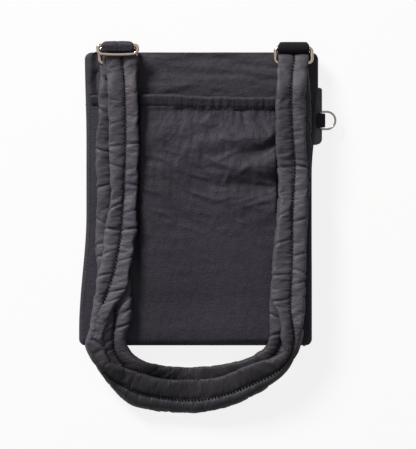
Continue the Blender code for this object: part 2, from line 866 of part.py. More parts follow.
def lay_strap(names, rows, cut_rows):
    """One strap laid along rows of x, y, width, thickness, layers beneath and lift, cut into nodes."""
    fine, marks = smooth_rows(rows, strap_step)
    centres = []
    slopes = []
    for index, (x, y, width, thickness, layers, lift) in enumerate(fine):
        before = fine[max(0, index - 1)]
        after = fine[min(len(fine) - 1, index + 1)]
        along = Vector((after[0] - before[0], after[1] - before[1], 0)).normalized()
        level, across, lengthwise = support(x, y, along, width)
        steepness = math.sqrt(1 + across**2 + lengthwise**2)
        z = level + (gap + layers * strap_pitch + lift + thickness / 2) * steepness
        centres.append(Vector((x, y, z)))
        slopes.append((Vector((-along.y, along.x, across)), along))
    frames = []
    for index, centre in enumerate(centres):
        before = centres[max(0, index - 1)]
        after = centres[min(len(centres) - 1, index + 1)]
        along = (after - before).normalized()
        if index in (0, len(centres) - 1):
            along = Vector((0, math.copysign(1, along.y), 0))
        side = slopes[index][0]
        side = (side - along * side.dot(along)).normalized()
        up = along.cross(side)
        frames.append((centre, side, up, fine[index][2], fine[index][3], along))
    bounds = [0] + [marks[row] for row in cut_rows] + [len(frames) - 1]
    for name, first, last in zip(names, bounds, bounds[1:]):
        piece = []
        for index in range(first, last + 1):
            centre, side, up, width, thickness, along = frames[index]
            if index == first and first > 0:
                centre = centre + along * (gap / 2)
            if index == last and last < len(frames) - 1:
                centre = centre - along * (gap / 2)
            piece.append((centre, side, up, width, thickness))
        strap_piece(name, piece)


def strap_section(width, thickness, layers, lift):
    return width * strap_width, thickness * strap_thickness, layers, lift * strap_thickness


def run_rows(ring_x, table):
    """Rows from shares: offset in strap widths from the ring, place down the bag, width, thickness,
    layers beneath, and lift in strap thicknesses."""
    rows = []
    for across, down, width, thickness, layers, lift in table:
        x = ring_x + across * strap_width
        y = top_y - down * bag_height
        rows.append((x, y, *strap_section(width, thickness, layers, lift)))
    return rows


def loop_rows(table):
    """Rows from shares: place between the two rings, drop below the foot, width, thickness,
    layers beneath, and lift in strap thicknesses."""
    rows = []
    for across, drop, width, thickness, layers, lift in table:
        x = mix(left_ring_x, right_ring_x, across)
        y = foot_y - drop * loop_drop
        rows.append((x, y, *strap_section(width, thickness, layers, lift)))
    return rows


fold_share = strap_fold_thickness / strap_thickness
front_lift = (fold_inner * 2 + strap_fold_thickness - strap_thickness - gap) / strap_thickness
tail_lift = front_lift + (strap_fold_thickness + gap) / strap_thickness
run_start_share = (lower_bar_drop + gap) / bag_height

# Inner strap: from the sewn end at the left ring, down, round the inner loop, up to the right ring
inner_left_shares = (
    (0.0, run_start_share, 0.98, fold_share, 0.0, 0.0),
    (-0.02, 0.08, 1.0, 0.9, 0.0, 0.0),
    (-0.05, 0.18, 1.0, 1.0, 0.0, 0.2),
    (-0.14, 0.265, 1.0, 1.0, 0.0, 0.0),
    (-0.2, 0.36, 1.0, 1.0, 0.0, 0.0),
    (-0.17, 0.5, 1.0, 1.0, 0.0, 0.0),
    (-0.2, 0.645, 1.0, 1.0, 0.0, 0.0),
    (-0.13, 0.755, 1.0, 1.0, 0.0, 0.0),
    (-0.05, 0.845, 0.96, 1.0, 0.0, 0.0),
    (-0.04, 0.9, 0.93, 1.0, 0.0, 0.0),
)
inner_loop_shares = (
    (-0.011, -0.18, 0.92, 1.0, 0.0, 0.0),
    (0.003, 0.07, 0.9, 1.0, 0.0, 0.0),
    (0.05, 0.27, 0.92, 1.0, 0.0, 0.0),
    (0.118, 0.41, 0.96, 1.0, 0.0, 0.0),
    (0.205, 0.505, 1.0, 1.0, 0.0, 0.0),
    (0.308, 0.55, 1.0, 1.0, 0.0, 0.0),
    (0.41, 0.556, 1.0, 1.0, 0.0, 0.0),
    (0.518, 0.534, 1.0, 1.0, 0.0, 0.0),
    (0.627, 0.474, 1.0, 1.0, 0.0, 0.0),
    (0.724, 0.383, 0.98, 1.0, 0.0, 0.0),
    (0.804, 0.263, 0.94, 1.0, 0.0, 0.0),
    (0.866, 0.105, 0.88, 1.0, 0.0, 0.0),
    (0.906, -0.075, 0.84, 1.0, 0.0, 0.0),
)
inner_right_shares = (
    (-0.39, 0.935, 0.84, 1.0, 0.0, 0.0),
    (-0.29, 0.878, 0.92, 1.0, 0.0, 0.0),
    (-0.22, 0.81, 1.0, 1.0, 0.0, 0.0),
    (-0.12, 0.725, 1.0, 1.0, 0.0, 0.0),
    (-0.06, 0.645, 1.0, 1.0, 0.0, 0.0),
    (0.0, 0.5, 1.0, 1.0, 0.0, 0.0),
    (0.045, 0.335, 1.0, 1.0, 0.0, 0.0),
    (0.06, 0.2, 1.0, 1.0, 0.0, 0.0),
    (0.03, 0.095, 1.0, 0.9, 0.0, 0.0),
    (0.0, run_start_share, 0.98, fold_share, 0.0, 0.0),
)
inner_left = run_rows(left_ring_x, inner_left_shares)
inner_loop = loop_rows(inner_loop_shares)
inner_right = run_rows(right_ring_x, inner_right_shares)
inner_rows = inner_left + inner_loop + inner_right
inner_cuts = (len(inner_left) - 1, len(inner_left) + len(inner_loop))
lay_strap(("strap_inner_left", "strap_inner_loop", "strap_inner_right"), inner_rows, inner_cuts)

# Outer strap: from the right ring down, round the outer loop, and up the left to the slider
outer_right_shares = (
    (0.0, run_start_share, 0.98, fold_share, 1.0, front_lift),
    (-0.04, 0.085, 1.0, 0.95, 1.0, 0.25),
    (-0.1, 0.165, 1.0, 1.0, 1.0, 0.1),
    (-0.11, 0.265, 1.0, 1.0, 1.0, 0.0),
    (-0.05, 0.367, 1.0, 1.0, 1.0, 0.0),
    (-0.03, 0.5, 1.0, 1.0, 1.0, 0.0),
    (-0.13, 0.64, 1.0, 1.0, 1.0, 0.0),
    (-0.13, 0.74, 1.0, 1.0, 1.0, 0.0),
    (-0.14, 0.81, 1.0, 1.0, 1.0, 0.0),
    (-0.11, 0.86, 0.94, 1.05, 1.0, 0.0),
    (-0.08, 0.912, 0.8, 1.25, 1.0, 0.0),
)
outer_loop_shares = (
    (0.986, -0.165, 0.62, 1.5, 1.0, 0.0),
    (0.972, 0.015, 0.54, 1.6, 1.0, 0.0),
    (0.93, 0.18, 0.66, 1.4, 1.0, 0.0),
    (0.866, 0.323, 0.86, 1.1, 1.0, 0.0),
    (0.786, 0.466, 0.95, 1.0, 1.0, 0.0),
    (0.695, 0.586, 1.0, 1.0, 1.0, 0.0),
    (0.593, 0.684, 1.02, 1.0, 1.0, 0.0),
    (0.496, 0.744, 1.02, 1.0, 1.0, 0.0),
    (0.387, 0.756, 1.02, 1.0, 1.0, 0.0),
    (0.296, 0.752, 1.02, 1.0, 1.0, 0.0),
    (0.194, 0.729, 0.97, 1.0, 1.0, 0.0),
    (0.091, 0.647, 0.84, 1.15, 1.0, 0.0),
    (0.0, 0.496, 0.66, 1.4, 1.0, 0.0),
    (-0.068, 0.3, 0.5, 1.7, 1.0, 0.0),
    (-0.114, 0.09, 0.44, 1.8, 1.0, 0.0),
    (-0.134, -0.12, 0.42, 1.8, 1.0, 0.0),
)
outer_left_shares = (
    (-0.7, 0.945, 0.46, 1.75, 1.0, 0.0),
    (-0.57, 0.89, 0.56, 1.55, 1.0, 0.0),
    (-0.37, 0.833, 0.78, 1.25, 1.0, 0.0),
    (-0.17, 0.765, 0.96, 1.0, 1.0, 0.0),
    (-0.02, 0.69, 1.0, 1.0, 1.0, 0.0),
    (0.1, 0.6, 1.0, 1.0, 1.0, 0.0),
    (0.13, 0.52, 1.0, 1.0, 1.0, 0.0),
    (0.19, 0.4, 1.0, 1.0, 1.0, 0.0),
    (0.2, 0.265, 1.0, 1.0, 1.0, 0.0),
    (0.17, 0.175, 1.0, 0.95, 1.0, 0.25),
    (0.13, 0.12, 0.98, 0.75, 1.0, tail_lift),
    (0.09, run_start_share, 0.98, fold_share, 1.0, tail_lift),
    (0.06, 0.016, 0.98, fold_share, 1.0, tail_lift),
)
outer_right = run_rows(right_ring_x, outer_right_shares)
outer_loop = loop_rows(outer_loop_shares)
outer_left = run_rows(left_ring_x, outer_left_shares)
outer_rows = outer_right + outer_loop + outer_left
outer_cuts = (len(outer_right) - 1, len(outer_right) + len(outer_loop))
lay_strap(("strap_outer_right", "strap_outer_loop", "strap_outer_left"), outer_rows, outer_cuts)


def strap_fold(name, centre_x, tail):
    """Strap folded round a ring's lower bar, from beneath, over the bar and down to its tail."""
    half = fold_inner + strap_fold_thickness / 2
    path = arc((lower_bar_y, ring_z), (half + fold_bulge, half), -90, 90, 10)
    if tail:
        path += [(lower_bar_y - share * tail, ring_z + half) for share in (0.5, 1.0)]
    frames = []
    for index, (y, z) in enumerate(path):
        before = path[max(0, index - 1)]
        after = path[min(len(path) - 1, index + 1)]
        along = Vector((0, after[0] - before[0], after[1] - before[1])).normalized()
        if index == 0 or (index == len(path) - 1):
            along = Vector((0, math.copysign(1, along.y), 0))
        side = Vector((1, 0, 0))
        centre = Vector((centre_x, y, z))
        frames.append((centre, side, along.cross(side), fold_width, strap_fold_thickness))
    strap_piece(name, frames)


fold_width = 0.98 * strap_width
strap_fold("strap_sewn_end", left_ring_x, tail_length)
strap_fold("strap_ring_fold", right_ring_x, 0.0)

# Slider: a two-bar frame on the outer strap's end, which is folded over its top bar
slider_z = ring_z + fold_outer + gap + strap_fold_thickness + gap + slider_wire / 2 + slider_rise
slider_span = slider_inner_width + slider_wire
slider_low_y = top_y - slider_low_bar_drop
slider_high_y = slider_low_y + slider_inner_height + slider_wire
slider_corner = 0.85 * slider_wire
slider_loop = rounded_loop(left_ring_x, slider_low_y, slider_high_y, slider_span, slider_corner)
slider_place = (left_ring_x, slider_high_y, slider_z)
closed_wire("strap_slider", slider_loop, slider_wire, ring_metal, slider_place)

# Strap end: flat, unpadded band folded over the slider's top bar
band_half = slider_wire / 2 + band_ease + band_thickness / 2
band_start_y = top_y - outer_left_shares[-1][1] * bag_height + gap
band_path = [(band_start_y, slider_z - band_half), (slider_low_y, slider_z - band_half)]
band_path += arc((slider_high_y, slider_z), (band_half, band_half), -90, 120, 12)
x_band("strap_slider_end", band_path, band_thickness, left_ring_x, band_width, strap_nylon)

# Side tab, the webbing loop sewn on it and the small ring that swings in the loop
d_y = top_y - d_loop_drop
side_tab_x = right_edge(d_y) + side_tab_reach
side_tab_top = top_y - side_tab_drop
side_tab_foot = side_tab_top - side_tab_length
root_inset = seam_inset - gap
side_tab_outline = []
for step in range(9):
    root_y = mix(side_tab_foot, side_tab_top, step / 8)
    side_tab_outline.append((right_edge(root_y) - root_inset, root_y))
small_corner = side_tab_corner / 3
upper_centre = (side_tab_x - small_corner, side_tab_top - small_corner)
side_tab_outline += arc(upper_centre, (small_corner, small_corner), 90, 0, 4)
lower_centre = (side_tab_x - side_tab_corner, side_tab_foot + side_tab_corner)
side_tab_outline += arc(lower_centre, (side_tab_corner, side_tab_corner), 0, -90, 6)
side_tab_high = side_tab_lift + side_tab_cloth
prism("side_tab", side_tab_outline, side_tab_lift, side_tab_high, shell_nylon)

d_bar_x = right_edge(d_y) + d_bar_reach
d_loop_half = d_ring_wire / 2 + gap + d_loop_webbing / 2
d_z = side_tab_high + gap + d_loop_webbing / 2 + d_loop_half
d_loop_root = right_edge(d_y + d_loop_width / 2)
d_loop_path = [(d_loop_root, d_z - d_loop_half)]
d_loop_path += arc((d_bar_x, d_z), (d_loop_half + d_loop_bulge, d_loop_half), -90, 90, 10)
d_loop_path.append((d_loop_root, d_z + d_loop_half))
prism(
    "side_ring_loop",
    thick_line(d_loop_path, d_loop_webbing),
    d_y - d_loop_width / 2,
    d_y + d_loop_width / 2,
    webbing_black,
    place=lambda x, z, y: (x, y, z),
)

bow_radius = (d_ring_inner_length + d_ring_wire) / 2
bow_x = d_bar_x + d_ring_reach - bow_radius
d_ring_path = [(d_bar_x, d_y + share * bow_radius) for share in (-0.5, 0.0, 0.5)]
bar_corner = d_ring_wire
corner_reach = bow_radius - bar_corner
bar_radii = (bar_corner, bar_corner)
d_ring_path += arc((d_bar_x + bar_corner, d_y + corner_reach), bar_radii, 180, 90, 4)
d_ring_path += arc((bow_x, d_y), (bow_radius, bow_radius), 90, -90, 14)
d_ring_path += arc((d_bar_x + bar_corner, d_y - corner_reach), bar_radii, 270, 180, 4)
d_ring_place = (d_bar_x, d_y, d_z)
closed_wire("side_ring", d_ring_path, d_ring_wire, ring_metal, d_ring_place, sides=8)
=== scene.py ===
import math
import time
import bmesh
import bpy
import numpy as np
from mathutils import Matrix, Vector


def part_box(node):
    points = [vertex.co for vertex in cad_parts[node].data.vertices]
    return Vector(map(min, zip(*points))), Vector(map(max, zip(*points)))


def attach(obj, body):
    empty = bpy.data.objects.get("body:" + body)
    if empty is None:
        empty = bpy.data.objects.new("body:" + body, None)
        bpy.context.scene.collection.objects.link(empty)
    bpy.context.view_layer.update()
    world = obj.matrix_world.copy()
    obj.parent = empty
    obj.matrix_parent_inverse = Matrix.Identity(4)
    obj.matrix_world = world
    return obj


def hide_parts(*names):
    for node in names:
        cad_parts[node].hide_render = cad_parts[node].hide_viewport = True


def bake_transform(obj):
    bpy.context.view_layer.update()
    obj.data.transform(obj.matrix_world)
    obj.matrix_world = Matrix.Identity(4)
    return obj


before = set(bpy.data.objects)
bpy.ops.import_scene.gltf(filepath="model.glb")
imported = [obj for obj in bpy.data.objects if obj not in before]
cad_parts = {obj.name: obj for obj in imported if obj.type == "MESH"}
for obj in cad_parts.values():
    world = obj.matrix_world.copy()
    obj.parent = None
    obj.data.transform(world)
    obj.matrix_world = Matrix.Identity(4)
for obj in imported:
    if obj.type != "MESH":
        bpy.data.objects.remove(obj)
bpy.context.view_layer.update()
print("frame loaded", len(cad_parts), "nodes")

# The photograph looks straight down on the bag: its scale, size and the pixel at the frame's origin
photo = {"metresPerPixel": 0.0008, "originX": 199, "originY": 199, "width": 416, "height": 449}


def fromPhoto(px, py):
    scale = photo["metresPerPixel"]
    return (np.asarray(px) - photo["originX"]) * scale, (photo["originY"] - np.asarray(py)) * scale


# Small helpers for shapes
def smoothStep(t):
    t = np.clip(t, 0.0, 1.0)
    return t * t * (3 - 2 * t)


def mix(a, b, t):
    return a + (b - a) * t


def unit(vectors):
    return vectors / np.maximum(np.linalg.norm(vectors, axis=-1, keepdims=True), 1e-12)


def softNoise(u, v, seed):
    # value noise from -1 to 1 over unit cells, the same on every run
    tall, wide = 97, 89
    table = np.random.default_rng(seed).uniform(-1, 1, (tall, wide))
    u, v = np.broadcast_arrays(np.asarray(u, float), np.asarray(v, float))
    i, j = np.floor(u).astype(int), np.floor(v).astype(int)
    fu, fv = smoothStep(u - i), smoothStep(v - j)
    a, b = table[i % tall, j % wide], table[(i + 1) % tall, j % wide]
    c, d = table[i % tall, (j + 1) % wide], table[(i + 1) % tall, (j + 1) % wide]
    return mix(mix(a, b, fu), mix(c, d, fu), fv)


def crinkle(u, v, seed):
    # sharp little ridges, as cloth creases: high along thin lines and low between
    return 1 - 2 * np.abs(softNoise(u, v, seed))


def addObject(name, data):
    thing = bpy.data.objects.new(name, data)
    bpy.context.scene.collection.objects.link(thing)
    return thing


def gridMesh(name, points, closed=False, caps=False, uv=None):
    # a mesh from rows of points; closed joins each row to a ring, caps fills the first and the last ring
    rows, columns = points.shape[:2]
    across = columns if closed else columns - 1
    r, c = np.meshgrid(np.arange(rows - 1), np.arange(across), indexing="ij")
    r, c = r.ravel(), c.ravel()
    d = (c + 1) % columns
    quads = np.stack([r * columns + c, r * columns + d, (r + 1) * columns + d, (r + 1) * columns + c], 1)
    faces = quads.tolist()
    if caps:
        faces.append(list(range(columns - 1, -1, -1)))
        faces.append(list(range((rows - 1) * columns, rows * columns)))
    mesh = bpy.data.meshes.new(name)
    mesh.from_pydata(points.reshape(-1, 3).tolist(), [], faces)
    if uv is not None:
        # a ring's last face ends on a column of its own, so that the pattern doesn't run back to the start
        flat = uv.reshape(rows, -1, 2)
        corners = np.stack([flat[r, c], flat[r, c + 1], flat[r + 1, c + 1], flat[r + 1, c]], 1).reshape(-1, 2)
        rest = np.zeros((len(mesh.loops) - len(corners), 2))
        layer = mesh.uv_layers.new(name="UVMap")
        layer.data.foreach_set("uv", np.concatenate([corners, rest]).astype(np.float32).ravel())
    mesh.shade_smooth()
    return addObject(name, mesh)


def closeMesh(thing, merge=1e-6):
    # joins doubled points and turns every face outwards
    work = bmesh.new()
    work.from_mesh(thing.data)
    bmesh.ops.remove_doubles(work, verts=work.verts, dist=merge)
    bmesh.ops.recalc_face_normals(work, faces=work.faces)
    work.to_mesh(thing.data)
    work.free()
    thing.data.shade_smooth()
    return thing


def bake(thing):
    # the modifiers' result becomes the object's own mesh
    bpy.context.view_layer.update()
    graph = bpy.context.evaluated_depsgraph_get()
    mesh = bpy.data.meshes.new_from_object(thing.evaluated_get(graph))
    mesh.name = thing.name
    thing.modifiers.clear()
    thing.data = mesh
    return thing


def thicken(thing, thickness, offset=-1.0):
    wall = thing.modifiers.new("wall", "SOLIDIFY")
    wall.thickness = thickness
    wall.offset = offset
    return bake(thing)


# Cloth simulation: cloth a little larger than what holds it finds its own creases
settle = {"scale": 10.0, "frames": 16, "quality": 4, "mass": 0.3, "tension": 12.0, "shear": 4.0, "levels": 20}


def settleCloth(thing, holds, taut, spare, bending, cap):
    # It runs on a copy ten times the size, because Blender's cloth is tuned to garments, and moves no
    # point further than the cap. holds gives how firmly each point is held, from 0 to 1, taut where the
    # cloth has nothing to spare, and spare the share by which it is too long.
    started = time.time()
    count = len(thing.data.vertices)
    start = np.empty(count * 3)
    thing.data.vertices.foreach_get("co", start)
    mesh = thing.data.copy()
    mesh.vertices.foreach_set("co", start * settle["scale"])
    double = addObject("settling", mesh)
    for label, weights in (("held", holds), ("taut", taut)):
        group = double.vertex_groups.new(name=label)
        levels = np.round(np.clip(weights, 0, 1) * settle["levels"]).astype(int)
        for level in range(1, settle["levels"] + 1):
            members = np.flatnonzero(levels == level).tolist()
            if members:
                group.add(members, level / settle["levels"], "REPLACE")
    cloth = double.modifiers.new("settle", "CLOTH")
    stuff = {"quality": settle["quality"], "mass": settle["mass"], "tension_stiffness": settle["tension"],
             "compression_stiffness": settle["tension"], "shear_stiffness": settle["shear"],
             "bending_stiffness": bending, "shrink_min": -spare, "shrink_max": 0.0,
             "vertex_group_shrink": "taut", "vertex_group_mass": "held"}
    for key, value in stuff.items():
        setattr(cloth.settings, key, value)
    cloth.settings.effector_weights.gravity = 0.0
    cloth.collision_settings.use_collision = False
    cloth.point_cache.frame_start = 1
    cloth.point_cache.frame_end = settle["frames"]
    for moment in range(1, settle["frames"] + 1):
        bpy.context.scene.frame_set(moment)
    settled = double.evaluated_get(bpy.context.evaluated_depsgraph_get()).to_mesh()
    end = np.empty(count * 3)
    settled.vertices.foreach_get("co", end)
    move = (end / settle["scale"] - start).reshape(-1, 3)
    far = np.linalg.norm(move, axis=1)
    move *= np.minimum(1.0, cap / np.maximum(far, 1e-9))[:, None]
    thing.data.vertices.foreach_set("co", start + move.ravel())
    thing.data.update()
    bpy.data.objects.remove(double)
    bpy.data.meshes.remove(mesh)
    bpy.context.scene.frame_set(1)
    print(thing.name, "settled in", round(time.time() - started, 1), "s, moved up to",
          round(float(far.max()) * 1000, 2), "mm, on average", round(float(far.mean()) * 1000, 2), "mm")


def smoothPath(rows, step):
    # smooth curve through rows of numbers, its steps close to even in the first three columns
    rows = np.asarray(rows, float)
    padded = np.vstack([2 * rows[0] - rows[1], rows, 2 * rows[-1] - rows[-2]])
    found = []
    for k in range(len(rows) - 1):
        p0, p1, p2, p3 = padded[k:k + 4]
        steps = max(1, int(round(np.linalg.norm((p2 - p1)[:3]) / step)))
        t = (np.arange(steps) / steps)[:, None]
        found.append(0.5 * (2 * p1 + (p2 - p0) * t + (2 * p0 - 5 * p1 + 4 * p2 - p3) * t**2
                            + (3 * p1 - p0 - 3 * p2 + p3) * t**3))
    found.append(rows[-1:])
    return np.concatenate(found)


def arc(x, y, radius, start, end, count):
    # points along part of a circle, its angles in degrees
    turn = np.radians(np.linspace(start, end, count))
    return list(zip(x + radius * np.cos(turn), y + radius * np.sin(turn)))


def cornerInset(distance, radius):
    # how far a round corner draws the side in, at a distance from the end
    if distance >= radius:
        return 0.0
    return radius - math.sqrt(max(0.0, radius**2 - (radius - distance)**2))


def rowAcross(x, y, z):
    # a row of points across the bag, all at the same distance from its foot
    return np.stack([x, np.full_like(x, y), z], 1)


def tapeMesh(name, path, shares, place, uv=None):
    # flat tape along a path: place gives the upper and the lower point of section k at a share across it;
    # the rows of its points come back with it
    rows = []
    for k in range(len(path)):
        pairs = [place(k, share) for share in shares]
        rows.append([upper for upper, lower in pairs] + [lower for upper, lower in reversed(pairs)])
    thing = gridMesh(name, np.array(rows), closed=True, caps=True, uv=uv)
    return closeMesh(thing), np.array(rows)


def wireMesh(name, loop, z, wire, sides, drop=0.0):
    # round wire along a closed loop of points; drop shifts each point towards the foot
    loop = np.array(loop)
    tangent = unit(np.roll(loop, -1, 0) - np.roll(loop, 1, 0))
    angles = np.linspace(0, 2 * math.pi, sides, endpoint=False)
    out = np.cos(angles) * wire / 2
    x = loop[:, :1] + tangent[:, 1:] * out
    y = (loop[:, 1] - drop)[:, None] - tangent[:, :1] * out
    points = np.stack([x, y, np.broadcast_to(z + np.sin(angles) * wire / 2, x.shape)], -1)
    thing = gridMesh(name, np.concatenate([points, points[:1]]), closed=True)
    return closeMesh(thing, 1e-7)


# The bag's own outline and faces, the same lines as its solids
bag = {"width": 0.1808, "height": 0.2352, "sideHeight": 0.012, "crown": 0.003, "cloth": 0.001,
       "leftTopFlare": 0.0013, "leftFootFlare": 0.0057, "rightTopFlare": 0.0052, "corner": 0.0055,
       "gap": 0.0003}
topY = bag["height"] / 2
footY = -topY


def downShare(y):
    return (topY - y) / bag["height"]


def leftEdge(y):
    s = downShare(y)
    return (-bag["width"] / 2 - bag["leftTopFlare"] * (1 - smoothStep(s / 0.3))
            - bag["leftFootFlare"] * smoothStep((s - 0.55) / 0.4))


def rightEdge(y):
    return bag["width"] / 2 + bag["rightTopFlare"] * (1 - smoothStep((downShare(y) - 0.12) / 0.3))


def acrossShare(x, y):
    middle = (leftEdge(y) + rightEdge(y)) / 2
    return np.minimum(1.0, np.abs(x - middle) / (rightEdge(y) - middle))


def backHeight(x, y):
    along = np.minimum(1.0, np.abs(y) / topY)
    return bag["sideHeight"] + bag["crown"] * (1 - acrossShare(x, y)**4) * (1 - along**4)


pocket = {"drop": 0.0344, "gape": 0.0056, "cloth": 0.0006, "hemDepth": 0.0095, "hemThickness": 0.0022,
          "hemEase": 0.014, "spareCloth": 0.012, "bending": 0.1, "mouthDip": 0.0027, "footDip": 0.0029,
          "fullness": 0.0015}
pocketTopY = topY - pocket["drop"]
hemBottomY = pocketTopY - pocket["hemDepth"]


def pocketUnder(x, y):
    up = np.clip((y - footY) / (pocketTopY - footY), 0, 1)
    gape = (1 - acrossShare(x, y)**4) * (1 - (1 - up)**4)
    return backHeight(x, y) + bag["gap"] + pocket["gape"] * gape


def pocketBody(x, y):
    # air held in the pocket: it lies low under the hem, is fullest a quarter of the way down and then falls
    rise = smoothStep((0.078 - y) / 0.036) - 1
    fall = smoothStep((0.046 - y) / 0.125)
    fall = fall * smoothStep((y - footY) / 0.04)
    height = pocket["mouthDip"] * rise - pocket["footDip"] * fall + pocket["fullness"]
    return height * smoothStep((1 - acrossShare(x, y)) / 0.2)


press = {"leftX": -0.0458, "leftFade": 0.005, "rightX": 0.0612, "rightFade": 0.004, "depth": 0.0045,
         "lowY": -0.075, "lowFade": 0.05, "highY": 0.105, "highFade": 0.012}


def pressed(x, y):
    # the strap's weight presses the pocket's gaping mouth down beneath it
    under = smoothStep((press["leftX"] - x) / press["leftFade"])
    under = under + smoothStep((x - press["rightX"]) / press["rightFade"])
    upTo = smoothStep((press["highY"] - y) / press["highFade"])
    return press["depth"] * under * smoothStep((y - press["lowY"]) / press["lowFade"]) * upTo


def faceHeight(x, y):
    # the visible face on which the strap lies, eased over the hem
    x = np.clip(x, leftEdge(y), rightEdge(y))
    onPocket = smoothStep((pocketTopY + pocket["hemEase"] - y) / pocket["hemEase"])
    onHem = onPocket * smoothStep((y - hemBottomY + pocket["hemEase"]) / pocket["hemEase"])
    thickness = pocket["cloth"] + (pocket["hemThickness"] - pocket["cloth"]) * onHem
    held = np.minimum(y, pocketTopY)
    raised = pocketUnder(x, held) + thickness - backHeight(x, held)
    return backHeight(x, y) + onPocket * raised - pressed(x, y)


def lieHeight(x, y):
    past = (footY - y - 0.003) / 0.04
    return faceHeight(x, np.clip(y, footY, topY)) * (1 - smoothStep(past))


# Colours and materials
def hexColour(text):
    channels = [int(text[k:k + 2], 16) / 255 for k in (0, 2, 4)]
    return (*[c / 12.92 if c <= 0.04045 else ((c + 0.055) / 1.055)**2.4 for c in channels], 1.0)


def plug(node, inputs):
    # gives a node's inputs their values, or links them to another node or to one of its outputs
    for key, value in inputs.items():
        if isinstance(value, bpy.types.Node):
            value = value.outputs[0]
        if isinstance(value, bpy.types.NodeSocket):
            node.id_data.links.new(value, node.inputs[key])
        else:
            node.inputs[key].default_value = value


def addNode(tree, kind, inputs=None, **settings):
    node = tree.nodes.new(kind)
    for key, value in settings.items():
        setattr(node, key, value)
    plug(node, inputs or {})
    return node


def newMaterial(name):
    material = bpy.data.materials.new(name)
    material.use_nodes = True
    tree = material.node_tree
    return material, tree, tree.nodes["Principled BSDF"]


def strapPaintedShade(tree, coordinates, colour, recipe):
    # Painted shade on the strap: the crease along the seam is darkened, the loops and the layer beneath
    # are darker than the runs on top, and the runs darken towards the mouth.
    onCloth = addNode(tree, "ShaderNodeSeparateXYZ", {0: coordinates.outputs["UV"]})
    place = addNode(tree, "ShaderNodeSeparateXYZ", {0: coordinates.outputs["Object"]})
    nearest = None
    for seam in recipe["seams"]:
        off = addNode(tree, "ShaderNodeMath", {0: onCloth.outputs["X"], 1: seam}, operation="SUBTRACT")
        away = addNode(tree, "ShaderNodeMath", {0: off}, operation="ABSOLUTE")
        if nearest:
            away = addNode(tree, "ShaderNodeMath", {0: nearest, 1: away}, operation="MINIMUM")
        nearest = away
    share = None
    for source, start, end, low, high, way in (
            # painted shade in the crease along the seam
            (nearest.outputs[0], 0.0004, 0.0016, recipe["creaseShadeShare"], 1.0, "SMOOTHSTEP"),
            # painted shade on the loops below the bag
            (place.outputs["Y"], -0.142, -0.095, recipe["loopShadeShare"], 1.0, "SMOOTHSTEP"),
            # painted shade on the layer beneath
            (onCloth.outputs["Y"], 0.60, 0.64, recipe["underShadeShare"], 1.0, "LINEAR"),
            # painted shade on the runs towards the mouth, evening out the lamp's brighter light there
            (place.outputs["Y"], 0.0, 0.09, 1.0, recipe["topShadeShare"], "SMOOTHSTEP")):
        part = addNode(tree, "ShaderNodeMapRange",
                       {"Value": source, "From Min": start, "From Max": end, "To Min": low, "To Max": high},
                       interpolation_type=way)
        if share:
            part = addNode(tree, "ShaderNodeMath", {0: share, 1: part}, operation="MULTIPLY")
        share = part
    return addNode(tree, "ShaderNodeVectorMath", {0: colour, "Scale": share}, operation="SCALE")


def clothMaterial(name, recipe):
    # Woven nylon: a plain weave of fine filaments, washed until it crinkles. The weave gives a faint
    # upright grain, the crinkle a broken soft gloss, and rubbed ridges turn a little paler.
    material, tree, shader = newMaterial(name)
    coordinates = addNode(tree, "ShaderNodeTexCoord")
    place = coordinates.outputs["UV" if recipe["onUv"] else "Object"]
    grain = addNode(tree, "ShaderNodeMapping",
                    {"Vector": place, "Scale": [1 / size for size in recipe["grain"]]})
    streaks = addNode(tree, "ShaderNodeTexNoise",
                      {"Vector": grain, "Scale": 1.0, "Detail": 2.0, "Roughness": 0.6})
    cross = addNode(tree, "ShaderNodeMapping",
                    {"Vector": place, "Scale": [1 / size for size in recipe["crossGrain"]]})
    crossStreaks = addNode(tree, "ShaderNodeTexNoise", {"Vector": cross, "Scale": 1.0, "Detail": 1.0})
    cloud = addNode(tree, "ShaderNodeTexNoise",
                    {"Vector": place, "Scale": 1 / recipe["cloud"], "Detail": 3.0, "Roughness": 0.55})
    stretched = addNode(tree, "ShaderNodeMapping", {"Vector": place, "Scale": recipe["stretch"]})
    creases = addNode(tree, "ShaderNodeTexNoise",
                      {"Vector": stretched, "Scale": 1 / recipe["crease"], "Detail": 5.0, "Roughness": 0.7,
                       "Distortion": 0.25})
    threads = addNode(tree, "ShaderNodeMath", {0: streaks, 1: crossStreaks}, operation="ADD")
    tone = addNode(tree, "ShaderNodeMapRange", {"Value": threads, "From Min": 0.7, "From Max": 1.3})
    base = addNode(tree, "ShaderNodeMix",
                   {"Factor": tone, 6: hexColour(recipe["dark"]), 7: hexColour(recipe["light"])},
                   data_type="RGBA")
    rubbed = addNode(tree, "ShaderNodeMapRange",
                     {"Value": cloud, "From Min": 0.35, "From Max": 0.68, "To Max": recipe["cloudShare"]})
    worn = addNode(tree, "ShaderNodeMix",
                   {"Factor": rubbed, 6: base.outputs[2], 7: hexColour(recipe["worn"])}, data_type="RGBA")
    colour = worn.outputs[2]
    if recipe["onUv"]:
        colour = strapPaintedShade(tree, coordinates, colour, recipe)
    gloss = addNode(tree, "ShaderNodeMapRange",
                    {"Value": cloud, "From Min": 0.3, "From Max": 0.7,
                     "To Min": recipe["roughness"] + 0.06, "To Max": recipe["roughness"] - 0.05})
    weave = addNode(tree, "ShaderNodeBump",
                    {"Height": threads, "Strength": recipe["weaveStrength"], "Distance": 0.0004})
    crinkled = addNode(tree, "ShaderNodeBump",
                       {"Height": creases, "Strength": recipe["creaseStrength"], "Distance": 0.0022,
                        "Normal": weave})
    plug(shader, {"Base Color": colour, "Roughness": gloss, "Normal": crinkled,
                  "Specular IOR Level": recipe["specular"], "Sheen Weight": recipe["sheen"],
                  "Sheen Roughness": 0.45, "Sheen Tint": hexColour("c9c4d2")})
    return material


